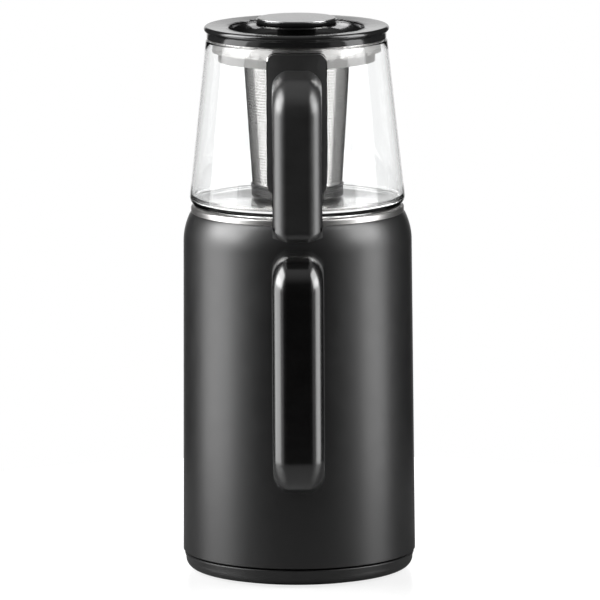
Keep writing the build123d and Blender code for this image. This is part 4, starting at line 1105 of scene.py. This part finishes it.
class TEAMAKER_OT_stage(bpy.types.Operator):
    """Set the floor, the soft lights, the surroundings and the camera"""

    bl_idname = "tea_maker.stage"
    bl_label = "Stage"

    def execute(self, context):
        floor_radius, floor_steps, floor_drop = 0.42, 96, 0.0003
        only()
        bpy.ops.mesh.primitive_circle_add(
            vertices=floor_steps, radius=floor_radius, fill_type="NGON", location=(0, 0, -floor_drop)
        )
        floor = context.object
        floor.name = "floor"
        floor.data.materials.append(self.floor_finish(context.scene.tea_maker_colours))
        self.softbox("softbox_left", turn=87, rise=-4, width=0.85, height=1.50, power=11.5)
        self.softbox("softbox_right", turn=-80, rise=-4, width=0.60, height=1.50, power=8.3)
        self.softbox("softbox_high_left", turn=80, rise=32, width=0.90, height=0.90, power=17.0)
        self.softbox("softbox_high_right", turn=-74, rise=32, width=0.75, height=0.90, power=10.5)
        self.softbox("fill_left", turn=58, rise=-4, width=0.36, height=1.50, power=0.8)
        self.softbox("fill_right", turn=-52, rise=-4, width=0.36, height=1.50, power=0.5)
        self.surroundings()
        self.camera(context)
        return {"FINISHED"}

    def softbox(self, name, turn, rise, width, height, power):
        """Rectangular soft light that faces the tea maker, turned from its front and raised by degrees."""
        distance, middle = 1.2, Vector((0, 0, 0.2))
        turn, rise = radians(turn), radians(rise)
        place = middle + distance * Vector((-sin(turn) * cos(rise), -cos(turn) * cos(rise), sin(rise)))
        bpy.ops.object.light_add(type="AREA", location=place)
        light = bpy.context.object
        light.name = light.data.name = name
        light.data.shape = "RECTANGLE"
        light.data.size = width
        light.data.size_y = height
        light.data.energy = power
        light.rotation_mode = "QUATERNION"
        light.rotation_quaternion = (place - middle).to_track_quat("Z", "Y")
        light.visible_camera = False

    def floor_finish(self, colours):
        """Floor that glows white to the camera but keeps the shadow, a little dimmer near the middle."""
        near, far, near_glow, dullness = 0.10, 0.38, 0.80, 0.25
        material = bpy.data.materials.new("pale_floor")
        material.use_nodes = True
        tree = material.node_tree
        tree.nodes.clear()
        place = added(tree, "ShaderNodeTexCoord")
        distance = added(tree, "ShaderNodeVectorMath", operation="LENGTH")
        fade = added(
            tree,
            "ShaderNodeMapRange",
            {"From Min": near, "From Max": far, "To Min": near_glow, "To Max": 1.0},
        )
        rays = added(tree, "ShaderNodeLightPath").outputs
        seen = combined(tree, "MAXIMUM", rays["Is Camera Ray"], rays["Is Transmission Ray"])
        glow = added(tree, "ShaderNodeEmission")
        surface = added(
            tree, "ShaderNodeBsdfPrincipled", {"Base Color": (*colours.floor, 1), "Roughness": dullness}
        )
        both = added(tree, "ShaderNodeAddShader")
        output = added(tree, "ShaderNodeOutputMaterial")
        tree.links.new(place.outputs["Object"], distance.inputs[0])
        tree.links.new(distance.outputs["Value"], fade.inputs["Value"])
        tree.links.new(combined(tree, "MULTIPLY", fade.outputs["Result"], seen), glow.inputs["Strength"])
        tree.links.new(surface.outputs["BSDF"], both.inputs[0])
        tree.links.new(glow.outputs["Emission"], both.inputs[1])
        tree.links.new(both.outputs["Shader"], output.inputs["Surface"])
        return material

    def surroundings(self):
        """White background; reflections see a white wall behind, a pale ceiling and a dim room."""
        room_light, ceiling_light = 0.015, 0.28
        wall_edge, wall_full = 0.92, 0.985  # how far a direction points to the back
        ceiling_edge = 0.45  # how far a direction points up
        world = bpy.context.scene.world or bpy.data.worlds.new("studio")
        bpy.context.scene.world = world
        world.use_nodes = True
        tree = world.node_tree
        tree.nodes.clear()
        place = added(tree, "ShaderNodeTexCoord")
        split = added(tree, "ShaderNodeSeparateXYZ")
        wall = added(
            tree,
            "ShaderNodeMapRange",
            {"From Min": wall_edge, "From Max": wall_full, "To Min": room_light, "To Max": 1.0},
            interpolation_type="SMOOTHSTEP",
        )
        ceiling = added(
            tree,
            "ShaderNodeMapRange",
            {"From Min": ceiling_edge, "From Max": 1.0, "To Min": 0.0, "To Max": ceiling_light},
            interpolation_type="SMOOTHSTEP",
        )
        room = added(tree, "ShaderNodeValue").outputs["Value"]
        room.default_value = room_light
        rays = added(tree, "ShaderNodeLightPath").outputs
        background = added(tree, "ShaderNodeBackground", {"Color": (1, 1, 1, 1)})
        output = added(tree, "ShaderNodeOutputWorld")
        tree.links.new(place.outputs["Generated"], split.inputs["Vector"])
        tree.links.new(split.outputs["Y"], wall.inputs["Value"])
        tree.links.new(split.outputs["Z"], ceiling.inputs["Value"])
        around = combined(tree, "MAXIMUM", wall.outputs["Result"], ceiling.outputs["Result"])
        glossy = combined(tree, "MULTIPLY", around, rays["Is Glossy Ray"])
        seen = combined(tree, "MAXIMUM", rays["Is Camera Ray"], rays["Is Transmission Ray"])
        light = combined(tree, "MAXIMUM", combined(tree, "MAXIMUM", seen, glossy), room)
        tree.links.new(light, background.inputs["Strength"])
        tree.links.new(background.outputs["Background"], output.inputs["Surface"])

    def camera(self, context):
        """Long lens in front of the handles, looking a little down."""
        distance, pitch, roll = 5.0, radians(9.13), radians(-0.32)
        focal_length, film_width = 444, 36  # in millimetres
        aim = Vector((0.00135, 0, 0.183))
        back = Vector((0, -cos(pitch), sin(pitch)))
        bpy.ops.object.camera_add(location=aim + back * distance)
        camera = context.object
        camera.name = "camera"
        camera.rotation_mode = "QUATERNION"
        camera.rotation_quaternion = back.to_track_quat("Z", "Y") @ Quaternion((0, 0, 1), roll)
        camera.data.lens = focal_length
        camera.data.sensor_width = film_width
        camera.data.clip_end = 10 * distance
        context.scene.camera = camera
        context.scene.view_settings.view_transform = "Standard"


OPERATORS = (
    TEAMAKER_OT_power_base,
    TEAMAKER_OT_controls,
    TEAMAKER_OT_kettle_shell,
    TEAMAKER_OT_kettle_rim,
    TEAMAKER_OT_kettle_fittings,
    TEAMAKER_OT_kettle_handle,
    TEAMAKER_OT_kettle_lid,
    TEAMAKER_OT_teapot_glass,
    TEAMAKER_OT_teapot_handle,
    TEAMAKER_OT_infuser,
    TEAMAKER_OT_lid,
    TEAMAKER_OT_knob,
    TEAMAKER_OT_screws,
    TEAMAKER_OT_stage,
)


class TEAMAKER_PT_pieces(bpy.types.Panel):
    """Sizes, colours and pieces of the tea maker"""

    bl_label = "Tea Maker"
    bl_idname = "TEAMAKER_PT_pieces"
    bl_space_type = "VIEW_3D"
    bl_region_type = "UI"
    bl_category = "Tea Maker"

    def draw(self, context):
        for group in (context.scene.tea_maker_sizes, context.scene.tea_maker_colours):
            box = self.layout.box()
            for name in group.bl_rna.properties.keys():
                if name not in ("rna_type", "name"):
                    box.prop(group, name)
        for operator in OPERATORS:
            self.layout.operator(operator.bl_idname)


CLASSES = (TeaMakerSizes, TeaMakerColours, *OPERATORS, TEAMAKER_PT_pieces)


def register():
    for item in CLASSES:
        bpy.utils.register_class(item)
    bpy.types.Scene.tea_maker_sizes = bpy.props.PointerProperty(type=TeaMakerSizes)
    bpy.types.Scene.tea_maker_colours = bpy.props.PointerProperty(type=TeaMakerColours)


def unregister():
    del bpy.types.Scene.tea_maker_colours
    del bpy.types.Scene.tea_maker_sizes
    for item in reversed(CLASSES):
        bpy.utils.unregister_class(item)


def main():
    """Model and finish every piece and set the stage."""
    register()
    for operator in OPERATORS:
        group, name = operator.bl_idname.split(".")
        getattr(getattr(bpy.ops, group), name)()


if __name__ == "__main__":
    main()
